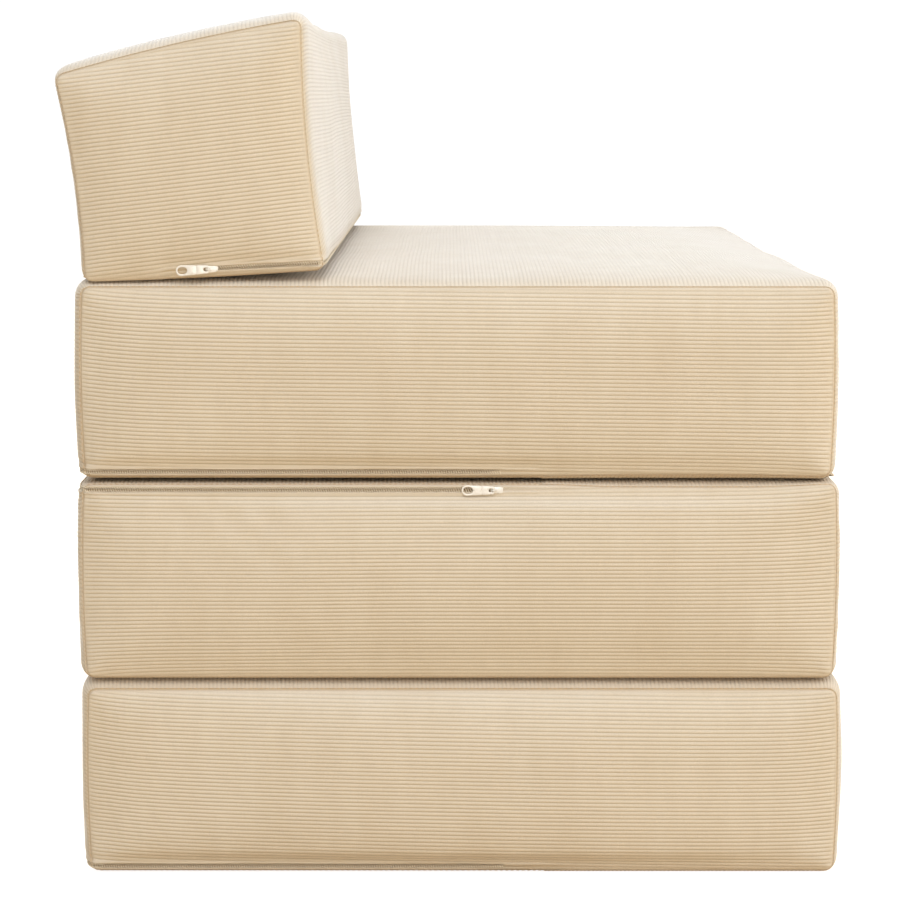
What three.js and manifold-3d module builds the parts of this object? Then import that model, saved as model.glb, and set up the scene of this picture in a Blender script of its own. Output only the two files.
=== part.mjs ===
// Folding sofa bed: three foam slabs hinged edge to edge and a wedge bolster, each in a zipped cover.
// Millimetres. +X is the front of the sofa, +Y its far end and +Z up. The origin is on the floor, at the
// middle of the stack. Each cushion is made in its own frame and placed by a group.

import * as THREE from 'three';
import { mergeVertices } from 'three/addons/utils/BufferGeometryUtils.js';
import Module from 'manifold-3d';

const wasm = await Module();
wasm.setup();

// The stack: width between the end panels' crowns, slab length and thickness, and the air between two slabs
const bedWidth = 800;
const slabLength = 600;
const slabThickness = 159;
const slabGap = 0.4;

// How far the middle and the base slab stand forward of the seat
const middleForward = 2;
const baseForward = 3;

// Cloth wall of a cover, and the room between it and the foam
const coverWall = 1.8;
const foamClearance = 0.8;
const runningGap = 0.3;

// Sewn edges: a slab's front and back panels swell between the seams, and every wrap panel rises from
// the end seams over the swell zone. The end panels keep a flat rim and then dome out.
const sideBow = 4;
const sideDrawnIn = 4;
const swellZone = 60;
const cornerReach = 8;
const endDome = 3.5;
const endRim = 11;
const domeSlopes = { halfRise: 24, fullRise: 50 };
const domeHalfShare = 0.7;

// What each slab's top and bottom edges are drawn in by at the end seams
const baseEdges = { top: 7, bottom: 2 };
const middleEdges = { top: 0.8, bottom: 1.3 };
const seatEdges = { top: 5, bottom: 2.5 };

// Bolster: the outline of its sewn end panel, in its own frame, with the hinge corner at the origin
const bolsterDepth = 190;
const bolsterFrontHeight = 195;
const bolsterFrontSetBack = 9;
const bolsterBackHeight = 161;
const bolsterBackLean = 13;
const bolsterTilt = THREE.MathUtils.degToRad(2.86);
const bolsterEdges = { bottom: -3, front: 4, top: 7, back: 2 };
const bolsterBows = { bottom: 2.5, front: -3, top: 5, back: -3 };
const bolsterCorner = { fromBack: 6, belowPlateau: 2.6 };

// Foam cores are rounder than their covers
const foamRound = 16;
const foamCornerReach = 24;

// Zips: the line's distance from the sewn edge, the slot in the cover, the tape, the coil and the slit
const zipInset = 5;
const seatZipInset = 5.6;
const bolsterZipInset = 6.2;
const zipSlotHeight = 4.8;
const zipEndForward = 35.2;
const bolsterZipStart = 99.5;
const tapeDepth = { outer: 0.5, inner: 1.3 };
const coilHeight = 3.4;
const coilDepth = { outer: 0.1, inner: 1.9 };
const slitHeight = 1;

// Slider: two plates joined by a bridge in the slit, and a bail that holds the puller's bar
const sliderLength = 10;
const sliderNoseWidth = 5.8;
const sliderTailWidth = 4.8;
const sliderPlate = 1.2;
const sliderCornerShare = 0.3;
const bridgeLength = 2.6;
const bridgeWidth = 0.5;
const bailInner = 1.1;
const bailOuter = 2.5;
const bailWidth = 1.6;
const bailOffset = 2.4;

// Puller: a flat tapered pull with a small hole round the bail and an oval one in its round free end
const pullerLength = 26;
const pullerWidth = 8.4;
const pullerPlate = 1.2;
const pullerNeckWidth = 6.2;
const pullerBar = 1.1;
const bailHole = { length: 3.4, width: 2.8 };
const thumbHole = { length: 7.4, width: 5.4, rim: 1.3 };

// Hinge strips: one leaf on each cushion, from its rounded edge to the fold line
const leafThickness = 0.8;
const leafFoldGap = 0.15;
const leafEndMargin = 40;
const foldBeyondBulge = 0.4;
const bolsterFoldInset = 1;

// Samples: along a side and a corner of an outline, and across the swell and the rounded foam ends
const sideShares = [0, 0.25, 0.5, 0.75, 1];
const cornerShares = [1 / 3, 2 / 3];
const swellShares = [0, 0.15, 0.45, 1];
const foamRoundShares = [1, 2 / 3, 1 / 3, 0];
const arcSteps = 8;
const overrun = 5;

const halfWidth = bedWidth / 2;
const seamHalfWidth = halfWidth - endDome;

const corduroy = new THREE.MeshStandardMaterial({ color: 0xe6d6b8, roughness: 0.95, metalness: 0 });
const tapeCloth = new THREE.MeshStandardMaterial({ color: 0xddcdb0, roughness: 0.9, metalness: 0 });
const foam = new THREE.MeshStandardMaterial({ color: 0xefeadb, roughness: 1, metalness: 0 });
const creamMetal = new THREE.MeshStandardMaterial({ color: 0xeae2d2, roughness: 0.35, metalness: 0.4 });

// Solids

/** A closed three.js geometry as a manifold solid. */
function toSolid(geometry) {
  const bare = geometry.index ? geometry.toNonIndexed() : geometry.clone();
  bare.deleteAttribute('normal');
  bare.deleteAttribute('uv');
  const merged = mergeVertices(bare);
  return new wasm.Manifold(new wasm.Mesh({
    numProp: 3,
    vertProperties: new Float32Array(merged.attributes.position.array),
    triVerts: new Uint32Array(merged.index.array),
  }));
}

/** A manifold solid as a three.js geometry. */
function toGeometry(solid) {
  const mesh = solid.getMesh();
  const geometry = new THREE.BufferGeometry();
  geometry.setAttribute('position', new THREE.BufferAttribute(new Float32Array(mesh.vertProperties), 3));
  geometry.setIndex(new THREE.BufferAttribute(new Uint32Array(mesh.triVerts), 1));
  geometry.computeVertexNormals();
  return geometry;
}

/** A box between two opposite corners, as a solid. */
function boxSolid(low, high) {
  const size = new THREE.Vector3().subVectors(high, low);
  const middle = new THREE.Vector3().addVectors(high, low).multiplyScalar(0.5);
  const box = new THREE.BoxGeometry(size.x, size.y, size.z);
  return toSolid(box.translate(middle.x, middle.y, middle.z));
}

/** An extrusion of a flat shape along +Z from one height to another, as a geometry. */
function plate(shape, from, to) {
  const options = { depth: to - from, bevelEnabled: false, curveSegments: arcSteps };
  return new THREE.ExtrudeGeometry(shape, options).translate(0, 0, from);
}

// Cushion outlines

/** Where two lines, each given by a point and a direction, cross. */
function crossing(a, alongA, b, alongB) {
  const share = new THREE.Vector2().subVectors(b, a).cross(alongB) / alongA.cross(alongB);
  return a.clone().addScaledVector(alongA, share);
}

/**
 * The outline of a cushion in its XZ plane, anticlockwise from the bottom side's back end.
 * form.corners are the end seam's corners; form.sides say how far each side swells past the seam (drawnIn)
 * and bows between its corners. drawnShare is 1 at the seam and 0 where the swell is full.
 */
function outline(form, drawnShare, inset, reach) {
  const count = form.corners.length;
  const sides = form.corners.map((corner, i) => {
    const along = new THREE.Vector2().subVectors(form.corners[(i + 1) % count], corner).normalize();
    const outward = new THREE.Vector2(along.y, -along.x);
    const push = form.sides[i].drawnIn * (1 - drawnShare) - inset;
    return { along, outward, from: corner.clone().addScaledVector(outward, push), bow: form.sides[i].bow };
  });
  const corners = sides.map((side, i) => {
    const before = sides[(i + count - 1) % count];
    return crossing(before.from, before.along, side.from, side.along);
  });
  const rounding = Math.max(reach - inset, reach / 2);
  const onSide = (i, distance) => {
    const length = corners[i].distanceTo(corners[(i + 1) % count]);
    const bowed = sides[i].bow * (1 - (2 * distance / length - 1) ** 2);
    const place = corners[i].clone().addScaledVector(sides[i].along, distance);
    return place.addScaledVector(sides[i].outward, bowed);
  };
  return sides.flatMap((side, i) => {
    const next = corners[(i + 1) % count];
    const run = corners[i].distanceTo(next) - 2 * rounding;
    const straight = sideShares.map((share) => onSide(i, rounding + share * run));
    const turned = onSide((i + 1) % count, rounding);
    const curve = new THREE.QuadraticBezierCurve(straight[straight.length - 1], next, turned);
    return [...straight, ...cornerShares.map((share) => curve.getPoint(share))];
  });
}

/** A closed solid through rings of points, each a list of [x, z] at one y, with a fan over each end. */
function loft(rings) {
  const count = rings[0].points.length;
  const positions = [];
  const triangles = [];
  for (const ring of rings) {
    for (const point of ring.points) positions.push(point.x, ring.y, point.y);
  }
  for (let r = 0; r < rings.length - 1; r += 1) {
    for (let i = 0; i < count; i += 1) {
      const a = r * count + i;
      const b = r * count + (i + 1) % count;
      triangles.push(a, a + count, b, b, a + count, b + count);
    }
  }
  for (const [r, flip] of [[0, false], [rings.length - 1, true]]) {
    const centre = positions.length / 3;
    const middle = rings[r].points.reduce((sum, p) => sum.add(p), new THREE.Vector2()).divideScalar(count);
    positions.push(middle.x, rings[r].y, middle.y);
    for (let i = 0; i < count; i += 1) {
      const a = r * count + i;
      const b = r * count + (i + 1) % count;
      triangles.push(centre, flip ? b : a, flip ? a : b);
    }
  }
  const geometry = new THREE.BufferGeometry();
  geometry.setAttribute('position', new THREE.BufferAttribute(new Float32Array(positions), 3));
  geometry.setIndex(triangles);
  return toSolid(geometry);
}

/** How much a wrap panel is still drawn in at a distance from the end seam: all at 0, none past the zone. */
function drawnAt(distance) {
  return Math.max(0, 1 - distance / swellZone) ** 3;
}

/** The skin of a cushion at a depth under its outer face: swelling wrap panels and domed end panels. */
function skin(form, depth) {
  const dome = [
    [domeSlopes.fullRise, endDome],
    [domeSlopes.halfRise, endDome * domeHalfShare],
    [endRim, 0],
  ];
  const half = [
    ...dome.map(([inset, rise]) => ({
      y: seamHalfWidth - depth + rise,
      points: outline(form, drawnAt(depth), depth + inset, cornerReach),
    })),
    ...swellShares.map((share) => {
      const distance = Math.max(share * swellZone, depth);
      return {
        y: seamHalfWidth - distance,
        points: outline(form, drawnAt(distance), depth, cornerReach),
      };
    }),
  ];
  const near = half.map((ring) => ({ y: -ring.y, points: ring.points }));
  return loft([...near, ...half.reverse()]);
}

/** A foam core: the same form inside the cover, with well rounded edges. */
function foamSolid(form) {
  const depth = coverWall + foamClearance;
  const round = foamRoundShares.map((share) => {
    const angle = share * Math.PI / 2;
    const distance = depth + foamRound * (1 - Math.sin(angle));
    const inset = depth + foamRound * (1 - Math.cos(angle));
    return {
      y: seamHalfWidth - distance,
      points: outline(form, drawnAt(distance), inset, foamCornerReach),
    };
  });
  const past = swellShares.map((share) => share * swellZone).filter((far) => far > depth + foamRound);
  const full = past.map((distance) => ({
    y: seamHalfWidth - distance,
    points: outline(form, drawnAt(distance), depth, foamCornerReach),
  }));
  const half = [...round, ...full];
  const near = half.map((ring) => ({ y: -ring.y, points: ring.points }));
  return loft([...near, ...half.reverse()]);
}

// Zips

/** The space beside a zip's line, from one height to another, on the side of the cushion that it opens. */
function zipBand(form, from, to, endGap) {
  const { zip } = form;
  const end = zip.end - zip.toward * endGap;
  const far = form.reach * zip.toward;
  const low = new THREE.Vector3(Math.min(end, far), -halfWidth - overrun, zip.height + from);
  const high = new THREE.Vector3(Math.max(end, far), halfWidth + overrun, zip.height + to);
  return boxSolid(low, high);
}

/** One stringer: the tape and its half of the coil, above the slit (side 1) or below it (side -1). */
function stringerSolid(form, side) {
  const from = slitHeight / 2;
  const tapeEdge = zipSlotHeight / 2 - runningGap;
  const strip = (depths, edge) => {
    const heights = [side * from, side * edge].sort((a, b) => a - b);
    const shell = skin(form, depths.outer).subtract(skin(form, depths.inner));
    return shell.intersect(zipBand(form, heights[0], heights[1], -runningGap));
  };
  return strip(tapeDepth, tapeEdge).add(strip(coilDepth, coilHeight / 2));
}

/** A cover: the cloth shell with the zip's slot round one end of the cushion. */
function coverSolid(form) {
  const shell = skin(form, 0).subtract(skin(form, coverWall));
  return shell.subtract(zipBand(form, -zipSlotHeight / 2, zipSlotHeight / 2, 0));
}

/** A slider's outline in plan: a wide rounded nose at +X and a narrow tail. */
function sliderShape() {
  const tail = -sliderLength / 2;
  const nose = sliderLength / 2;
  const corner = sliderCornerShare * sliderTailWidth;
  const shape = new THREE.Shape();
  shape.moveTo(tail, -sliderTailWidth / 2);
  shape.lineTo(nose - corner, -sliderNoseWidth / 2);
  shape.quadraticCurveTo(nose, -sliderNoseWidth / 2, nose, -sliderNoseWidth / 2 + corner);
  shape.lineTo(nose, sliderNoseWidth / 2 - corner);
  shape.quadraticCurveTo(nose, sliderNoseWidth / 2, nose - corner, sliderNoseWidth / 2);
  shape.lineTo(tail, sliderTailWidth / 2);
  return shape;
}

/** The wedge-ended bridge that joins the slider's plates, in plan. */
function bridgeShape() {
  const nose = sliderLength / 2 - bridgeWidth;
  const shape = new THREE.Shape();
  shape.moveTo(nose - bridgeLength, 0);
  shape.lineTo(nose - bridgeLength + bridgeWidth, -bridgeWidth / 2);
  shape.lineTo(nose, -bridgeWidth / 2);
  shape.lineTo(nose, bridgeWidth / 2);
  shape.lineTo(nose - bridgeLength + bridgeWidth, bridgeWidth / 2);
  return shape;
}

const topPlateFrom = runningGap;
const topPlateTo = topPlateFrom + sliderPlate;
const lowerPlateTo = -coilDepth.inner - runningGap;
const lowerPlateFrom = lowerPlateTo - sliderPlate;
const pullerAxisHeight = topPlateTo + runningGap + pullerPlate / 2;

/** The bail: a half ring round the puller's axis, on two short legs, off the slider's middle along X. */
function bailSolid(offset) {
  const foot = topPlateTo - runningGap;
  const shape = new THREE.Shape();
  shape.moveTo(bailOuter, foot);
  shape.absarc(0, pullerAxisHeight, bailOuter, 0, Math.PI, false);
  shape.lineTo(-bailOuter, foot);
  shape.lineTo(-bailInner, foot);
  shape.absarc(0, pullerAxisHeight, bailInner, Math.PI, 0, true);
  shape.lineTo(bailInner, foot);
  const ring = plate(shape, -bailWidth / 2, bailWidth / 2);
  return toSolid(ring.rotateX(Math.PI / 2).translate(offset, 0, 0));
}

/** A slider with its nose at +X and +Z out of the cloth; the cloth's outer face is at 0. */
function sliderSolid(offset) {
  return toSolid(plate(sliderShape(), topPlateFrom, topPlateTo))
    .add(toSolid(plate(sliderShape(), lowerPlateFrom, lowerPlateTo)))
    .add(toSolid(plate(bridgeShape(), lowerPlateTo - runningGap, topPlateFrom + runningGap)))
    .add(bailSolid(offset));
}

/** A closed path with round ends along X, for the long hole and the bail's hole. */
function roundSlot(from, to, width, Path) {
  const radius = width / 2;
  const path = new Path();
  path.absarc(from + radius, 0, radius, Math.PI / 2, 3 * Math.PI / 2, false);
  path.absarc(to - radius, 0, radius, -Math.PI / 2, Math.PI / 2, false);
  return path;
}

/** A puller that lies along +X from its bar at the origin. */
function pullerSolid() {
  const start = -pullerBar / 2;
  const end = start + pullerLength;
  const shape = new THREE.Shape();
  shape.moveTo(start, 0);
  shape.lineTo(start, -pullerNeckWidth / 2);
  shape.absarc(end - pullerWidth / 2, 0, pullerWidth / 2, -Math.PI / 2, Math.PI / 2, false);
  shape.lineTo(start, pullerNeckWidth / 2);
  const holeStart = pullerBar / 2;
  const thumbEnd = end - thumbHole.rim;
  shape.holes.push(
    roundSlot(holeStart, holeStart + bailHole.length, bailHole.width, THREE.Path),
    roundSlot(thumbEnd - thumbHole.length, thumbEnd, thumbHole.width, THREE.Path),
  );
  return toSolid(plate(shape, -pullerPlate / 2, pullerPlate / 2));
}

// Hinge strips

/** A leaf along Y whose section is a list of [x, z] points. */
function leafSolid(points) {
  const shape = new THREE.Shape(points.map(([x, z]) => new THREE.Vector2(x, z)));
  const length = bedWidth - 2 * leafEndMargin;
  return toSolid(plate(shape, -length / 2, length / 2).rotateX(Math.PI / 2));
}

/**
 * The section of a leaf. edge is the x of the cushion's square edge and fold the x of the fold line;
 * the leaf lies on the outer side of the fold plane, at height z, on the side that upward points to.
 */
function leafSection(edge, fold, z, upward, inward) {
  const room = leafFoldGap + leafThickness + runningGap - slabGap / 2;
  const reachShare = 1 - Math.sqrt(room / cornerReach);
  const root = edge + inward * cornerReach * reachShare ** 2;
  const inner = z + upward * leafFoldGap;
  const outer = inner + upward * leafThickness;
  return [[root, inner], [fold, inner], [fold, outer], [root - inward * leafThickness, outer]];
}

// Assembly

/** The form of a slab: its end seam's corners, how its sides swell and bow, and its zip. */
function slabForm(edges, zip) {
  const half = slabLength / 2 - sideDrawnIn;
  const bottom = edges.bottom;
  const top = slabThickness - edges.top;
  return {
    corners: [
      new THREE.Vector2(-half, bottom),
      new THREE.Vector2(half, bottom),
      new THREE.Vector2(half, top),
      new THREE.Vector2(-half, top),
    ],
    sides: [
      { drawnIn: edges.bottom, bow: 0 },
      { drawnIn: sideDrawnIn, bow: sideBow },
      { drawnIn: edges.top, bow: 0 },
      { drawnIn: sideDrawnIn, bow: sideBow },
    ],
    reach: slabLength,
    zip: {
      ...zip,
      toward: -1,
      end: zipEndForward,
      height: zip.atTop ? top - zip.inset : bottom + zip.inset,
    },
  };
}

/** The form of the bolster, whose zip runs round its front end. */
function bolsterForm() {
  return {
    corners: [
      new THREE.Vector2(0, 0),
      new THREE.Vector2(bolsterDepth, 0),
      new THREE.Vector2(bolsterDepth - bolsterFrontSetBack, bolsterFrontHeight),
      new THREE.Vector2(-bolsterBackLean, bolsterBackHeight),
    ],
    sides: [
      { drawnIn: bolsterEdges.bottom, bow: bolsterBows.bottom },
      { drawnIn: bolsterEdges.front, bow: bolsterBows.front },
      { drawnIn: bolsterEdges.top, bow: bolsterBows.top },
      { drawnIn: bolsterEdges.back, bow: bolsterBows.back },
    ],
    reach: slabLength,
    zip: { side: -1, toward: 1, pullerToward: -1, end: bolsterZipStart, height: bolsterZipInset },
  };
}

/** Adds a solid as a named mesh to a group. */
function addMesh(parent, name, solid, material) {
  const mesh = new THREE.Mesh(toGeometry(solid), material);
  mesh.name = name;
  parent.add(mesh);
  return mesh;
}

/**
 * A group on the near or far end panel at the zip's end, with +X along the zip and +Z out of the cloth.
 * offset is its distance from the slider's middle, along the cushion's X.
 */
function zipFrame(form, direction, offset) {
  const { zip } = form;
  const outward = new THREE.Vector3(0, zip.side, 0);
  const along = new THREE.Vector3(direction, 0, 0);
  const across = new THREE.Vector3().crossVectors(outward, along);
  const frame = new THREE.Group();
  frame.setRotationFromMatrix(new THREE.Matrix4().makeBasis(along, across, outward));
  const sliderMiddle = zip.end + zip.toward * sliderLength / 2;
  frame.position.set(sliderMiddle + offset, zip.side * seamHalfWidth, zip.height);
  return frame;
}

/** A cushion with its foam, cover and zip, in its own frame. */
function cushion(name, form) {
  const group = new THREE.Group();
  addMesh(group, `${name}_foam_core`, foamSolid(form), foam);
  addMesh(group, `${name}_cover`, coverSolid(form), corduroy);
  addMesh(group, `${name}_zip_upper_stringer`, stringerSolid(form, 1), tapeCloth);
  addMesh(group, `${name}_zip_lower_stringer`, stringerSolid(form, -1), tapeCloth);
  const noseToward = -form.zip.toward;
  const axisOffset = form.zip.pullerToward * bailOffset;
  const sliderFrame = zipFrame(form, noseToward, 0);
  addMesh(sliderFrame, `${name}_zip_slider`, sliderSolid(axisOffset * noseToward), creamMetal);
  const pullerFrame = zipFrame(form, form.zip.pullerToward, axisOffset);
  const puller = addMesh(pullerFrame, `${name}_zip_puller`, pullerSolid(), creamMetal);
  puller.position.z = pullerAxisHeight;
  group.add(sliderFrame, pullerFrame);
  return group;
}

const sofaBed = new THREE.Group();
const slabPitch = slabThickness + slabGap;
const lowerFold = slabThickness + slabGap / 2;
const upperFold = lowerFold + slabPitch;
const seatTop = 2 * slabPitch + slabThickness;
const bolsterFold = seatTop + slabGap / 2;
const backFoldX = Math.min(baseForward, middleForward) - slabLength / 2 - sideBow - foldBeyondBulge;
const frontFoldX = middleForward + slabLength / 2 + sideBow + foldBeyondBulge;
const bolsterFoldX = -slabLength / 2 + bolsterFoldInset;

const baseZip = { side: 1, pullerToward: -1, atTop: false, inset: zipInset };
const base = cushion('base', slabForm(baseEdges, baseZip));
base.position.set(baseForward, 0, 0);

const middleZip = { side: -1, pullerToward: -1, atTop: true, inset: zipInset };
const middle = cushion('middle', slabForm(middleEdges, middleZip));
middle.position.set(middleForward, 0, slabPitch);

const seatZip = { side: 1, pullerToward: -1, atTop: false, inset: seatZipInset };
const seat = cushion('seat', slabForm(seatEdges, seatZip));
seat.position.set(0, 0, 2 * slabPitch);

const backrest = cushion('backrest', bolsterForm());
backrest.position.set(-slabLength / 2 + bolsterCorner.fromBack, 0, seatTop - bolsterCorner.belowPlateau);
backrest.rotation.y = -bolsterTilt;

sofaBed.add(base, middle, seat, backrest);

const baseBack = baseForward - slabLength / 2;
const middleBack = middleForward - slabLength / 2;
const middleFront = middleForward + slabLength / 2;
const bolsterBack = backrest.position.x - bolsterEdges.back;
const leaves = [
  ['base_back_hinge_leaf', leafSection(baseBack, backFoldX, lowerFold, -1, 1)],
  ['middle_back_hinge_leaf', leafSection(middleBack, backFoldX, lowerFold, 1, 1)],
  ['middle_front_hinge_leaf', leafSection(middleFront, frontFoldX, upperFold, -1, -1)],
  ['seat_front_hinge_leaf', leafSection(slabLength / 2, frontFoldX, upperFold, 1, -1)],
  ['seat_back_hinge_leaf', leafSection(-slabLength / 2, bolsterFoldX, bolsterFold, -1, 1)],
  ['backrest_hinge_leaf', leafSection(bolsterBack, bolsterFoldX, bolsterFold, 1, 1)],
];
for (const [name, section] of leaves) addMesh(sofaBed, name, leafSolid(section), corduroy);

export default sofaBed;
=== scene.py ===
"""Folding sofa bed in corduroy: three zipped foam slabs stacked in a Z and a wedge bolster, with cloth hinges.

Lengths are in millimetres until a mesh is made. +X is the sofa's front, +Y its far end and +Z up.
"""

from __future__ import annotations

import logging
from dataclasses import dataclass, field
from enum import Enum
from math import cos, exp, pi, radians, sin

import bpy
import numpy as np
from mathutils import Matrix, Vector


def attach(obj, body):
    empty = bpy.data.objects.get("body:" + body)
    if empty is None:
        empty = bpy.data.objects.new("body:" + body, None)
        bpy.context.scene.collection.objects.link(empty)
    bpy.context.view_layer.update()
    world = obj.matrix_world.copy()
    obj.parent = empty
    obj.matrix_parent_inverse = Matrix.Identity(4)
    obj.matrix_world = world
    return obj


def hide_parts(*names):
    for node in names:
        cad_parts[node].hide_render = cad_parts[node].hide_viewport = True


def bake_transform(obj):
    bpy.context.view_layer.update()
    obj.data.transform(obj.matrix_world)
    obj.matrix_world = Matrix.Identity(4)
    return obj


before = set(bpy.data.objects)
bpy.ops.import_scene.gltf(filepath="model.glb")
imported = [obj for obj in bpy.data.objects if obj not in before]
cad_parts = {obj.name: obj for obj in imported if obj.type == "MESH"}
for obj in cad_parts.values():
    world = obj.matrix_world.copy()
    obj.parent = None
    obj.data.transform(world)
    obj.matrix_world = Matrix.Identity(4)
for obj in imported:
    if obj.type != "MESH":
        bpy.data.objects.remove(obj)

logging.basicConfig(level=logging.INFO, format="%(message)s")
log = logging.getLogger("sofa_bed")

Array = np.ndarray
Triple = tuple[float, float, float]
Colour = tuple[float, float, float, float]
Material = bpy.types.Material
Socket = bpy.types.NodeSocket

MM = 0.001
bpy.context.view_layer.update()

# The stack, as in the frame: a slab's pitch is its thickness and the gap to the next one
BED_WIDTH = 800.0
SLAB_THICKNESS = 159.0
SLAB_PITCH = 159.4
SEAT_TOP = 2 * SLAB_PITCH + SLAB_THICKNESS
ZIP_INSET = 5.0
ZIP_END = 35.2
FOLD_BACK = -300.9
FOLD_FRONT = 305.4

# The swell beside the end seams: of the wrap over SWELL_ZONE, and of the end panels over the same zone as a
# parabola of END_BULGE, a soft step of half END_DOME and the lean of the lip at the seam
SWELL_ZONE = 60.0
SWELL_POWER = 8
END_DOME = 3.5
DOME_START = 4.0
DOME_REACH = 18.0
DOME_POWER = 1.7
END_BULGE = 6.0
LIP = 1.6
LIP_REACH = 4.0
AT_ZIP = END_BULGE * (1 - (1 - ZIP_INSET / SWELL_ZONE) ** 2)
LIP_SHARE = 1 - exp(-ZIP_INSET / LIP_REACH)
SEAM_HALF = BED_WIDTH / 2 - END_DOME
EDGE_HALF = SEAM_HALF - AT_ZIP - LIP * LIP_SHARE

# Corduroy: one wale and the samples across it
WALE_PITCH = 3.2
WALE_HEIGHT = 0.42
WALE_PHASES = np.array([0.0, 0.13, 0.36, 0.64, 0.87])
WALE_HEIGHTS = np.array([0.0, 0.58, 1.0, 1.0, 0.58])


class Body(str, Enum):
    """The bodies of the frame that cushions ride on."""

    BASE = "base"
    MIDDLE = "middle"
    SEAT = "seat"
    BACKREST = "backrest"


class Slot(str, Enum):
    """The record's material slots."""

    CORDUROY = "corduroy"
    HINGE_CLOTH = "hinge_cloth"
    ZIP_TAPE = "zip_tape"
    ZIP_METAL = "zip_metal"
    FOAM = "foam"


# Meshes


@dataclass
class Surface:
    """Points in millimetres with faces and named values per point, joined piece by piece.

    Attributes:
        points: N x 3 array.
        quads: M x 4 array of point numbers.
        triangles: K x 3 array of point numbers.
        values: one array of N numbers for each name.
    """

    points: Array
    quads: Array = field(default_factory=lambda: np.zeros((0, 4), int))
    triangles: Array = field(default_factory=lambda: np.zeros((0, 3), int))
    values: dict[str, Array] = field(default_factory=dict)

    @staticmethod
    def joined(parts: list[Surface]) -> Surface:
        """One surface from several, with the point numbers moved up.

        Args:
            parts: surfaces with the same value names.

        Returns:
            The joined surface.
        """
        starts = np.cumsum([0] + [len(part.points) for part in parts[:-1]])
        names = parts[0].values.keys()
        return Surface(
            points=np.concatenate([part.points for part in parts]),
            quads=np.concatenate([part.quads + at for part, at in zip(parts, starts)]),
            triangles=np.concatenate([part.triangles + at for part, at in zip(parts, starts)]),
            values={name: np.concatenate([part.values[name] for part in parts]) for name in names},
        )

    def corners(self) -> tuple[Array, Array, Array]:
        """The point numbers of the faces as triangles, three arrays."""
        halves = np.concatenate([self.quads[:, [0, 1, 2]], self.quads[:, [0, 2, 3]], self.triangles])
        return halves[:, 0], halves[:, 1], halves[:, 2]

    def volume(self) -> float:
        """A sixth of the sum of a . (b x c) over the triangles: above zero where closed faces point outwards."""
        a, b, c = (self.points[numbers] for numbers in self.corners())
        return float(np.einsum("ij,ij->", a, np.cross(b, c)) / 6)

    def point_normals(self) -> Array:
        """Unit normals at the points: the sum of the faces' area vectors round each.

        Returns:
            N x 3 array.
        """
        a, b, c = (self.points[numbers] for numbers in self.corners())
        area = np.cross(b - a, c - a)
        total = np.zeros(self.points.shape)
        for numbers in self.corners():
            np.add.at(total, numbers, area)
        return to_unit(total)

    def facing_out(self) -> Surface:
        """The closed surface with its faces turned round if they point inwards.

        Returns:
            The surface.
        """
        if self.volume() >= 0:
            return self
        return Surface(self.points, self.quads[:, ::-1], self.triangles[:, ::-1], self.values)

    def mesh(self, name: str) -> bpy.types.Mesh:
        """A Blender mesh in metres, smooth shaded, with the values as point attributes.

        Args:
            name: the mesh's name.

        Returns:
            The mesh.
        """
        mesh = bpy.data.meshes.new(name)
        loops = np.concatenate([self.quads.ravel(), self.triangles.ravel()])
        sizes = np.concatenate([np.full(len(self.quads), 4), np.full(len(self.triangles), 3)])
        starts = np.concatenate([[0], np.cumsum(sizes)[:-1]])
        mesh.vertices.add(len(self.points))
        mesh.vertices.foreach_set("co", (self.points * MM).astype(np.float32).ravel())
        mesh.loops.add(len(loops))
        mesh.loops.foreach_set("vertex_index", loops.astype(np.int32))
        mesh.polygons.add(len(sizes))
        mesh.polygons.foreach_set("loop_start", starts.astype(np.int32))
        mesh.update(calc_edges=True)
        mesh.validate()
        for label, values in self.values.items():
            attribute = mesh.attributes.new(label, "FLOAT", "POINT")
            attribute.data.foreach_set("value", values.astype(np.float32))
        mesh.shade_smooth()
        return mesh


def to_unit(vectors: Array) -> Array:
    """Vectors brought to length 1."""
    return vectors / np.maximum(np.linalg.norm(vectors, axis=-1, keepdims=True), 1e-9)


def length_along(points: Array) -> Array:
    """Length of a line up to each of its points: the sum of the steps between them."""
    return np.concatenate([[0], np.cumsum(np.linalg.norm(np.diff(points, axis=0), axis=1))])


def angles(count: int) -> Array:
    """Even angles round a circle."""
    return np.arange(count) * 2 * pi / count


def grid_quads(rows: int, columns: int, around: bool = False) -> Array:
    """The quads of a grid of points numbered row by row.

    Args:
        rows: points along the first parameter.
        columns: points along the second parameter.
        around: whether the last column joins the first.

    Returns:
        M x 4 array of point numbers.
    """
    r = np.arange(rows - 1)[:, None] * columns
    c = np.arange(columns if around else columns - 1)[None, :]
    after = (c + 1) % columns
    return np.stack([r + c, r + after, r + columns + after, r + columns + c], -1).reshape(-1, 4)


def lofted(points: Array, closed: bool = False) -> Surface:
    """A closed surface through rings of points.

    Args:
        points: rings x points x 3.
        closed: whether the last ring joins the first; an open row gets a fan over each end.

    Returns:
        The surface with its faces outwards.
    """
    count, size = points.shape[:2]
    quads = grid_quads(count, size, around=True)
    c = np.arange(size)
    after = (c + 1) % size
    last = (count - 1) * size
    flat = points.reshape(-1, 3)
    if closed:
        seam = np.stack([last + c, last + after, after, c], -1)
        return Surface(flat, np.concatenate([quads, seam])).facing_out()
    fans = np.concatenate([
        np.stack([np.full(size, count * size), after, c], -1),
        np.stack([np.full(size, count * size + 1), last + c, last + after], -1),
    ])
    return Surface(np.concatenate([flat, points[[0, -1]].mean(1)]), quads, fans).facing_out()


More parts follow.
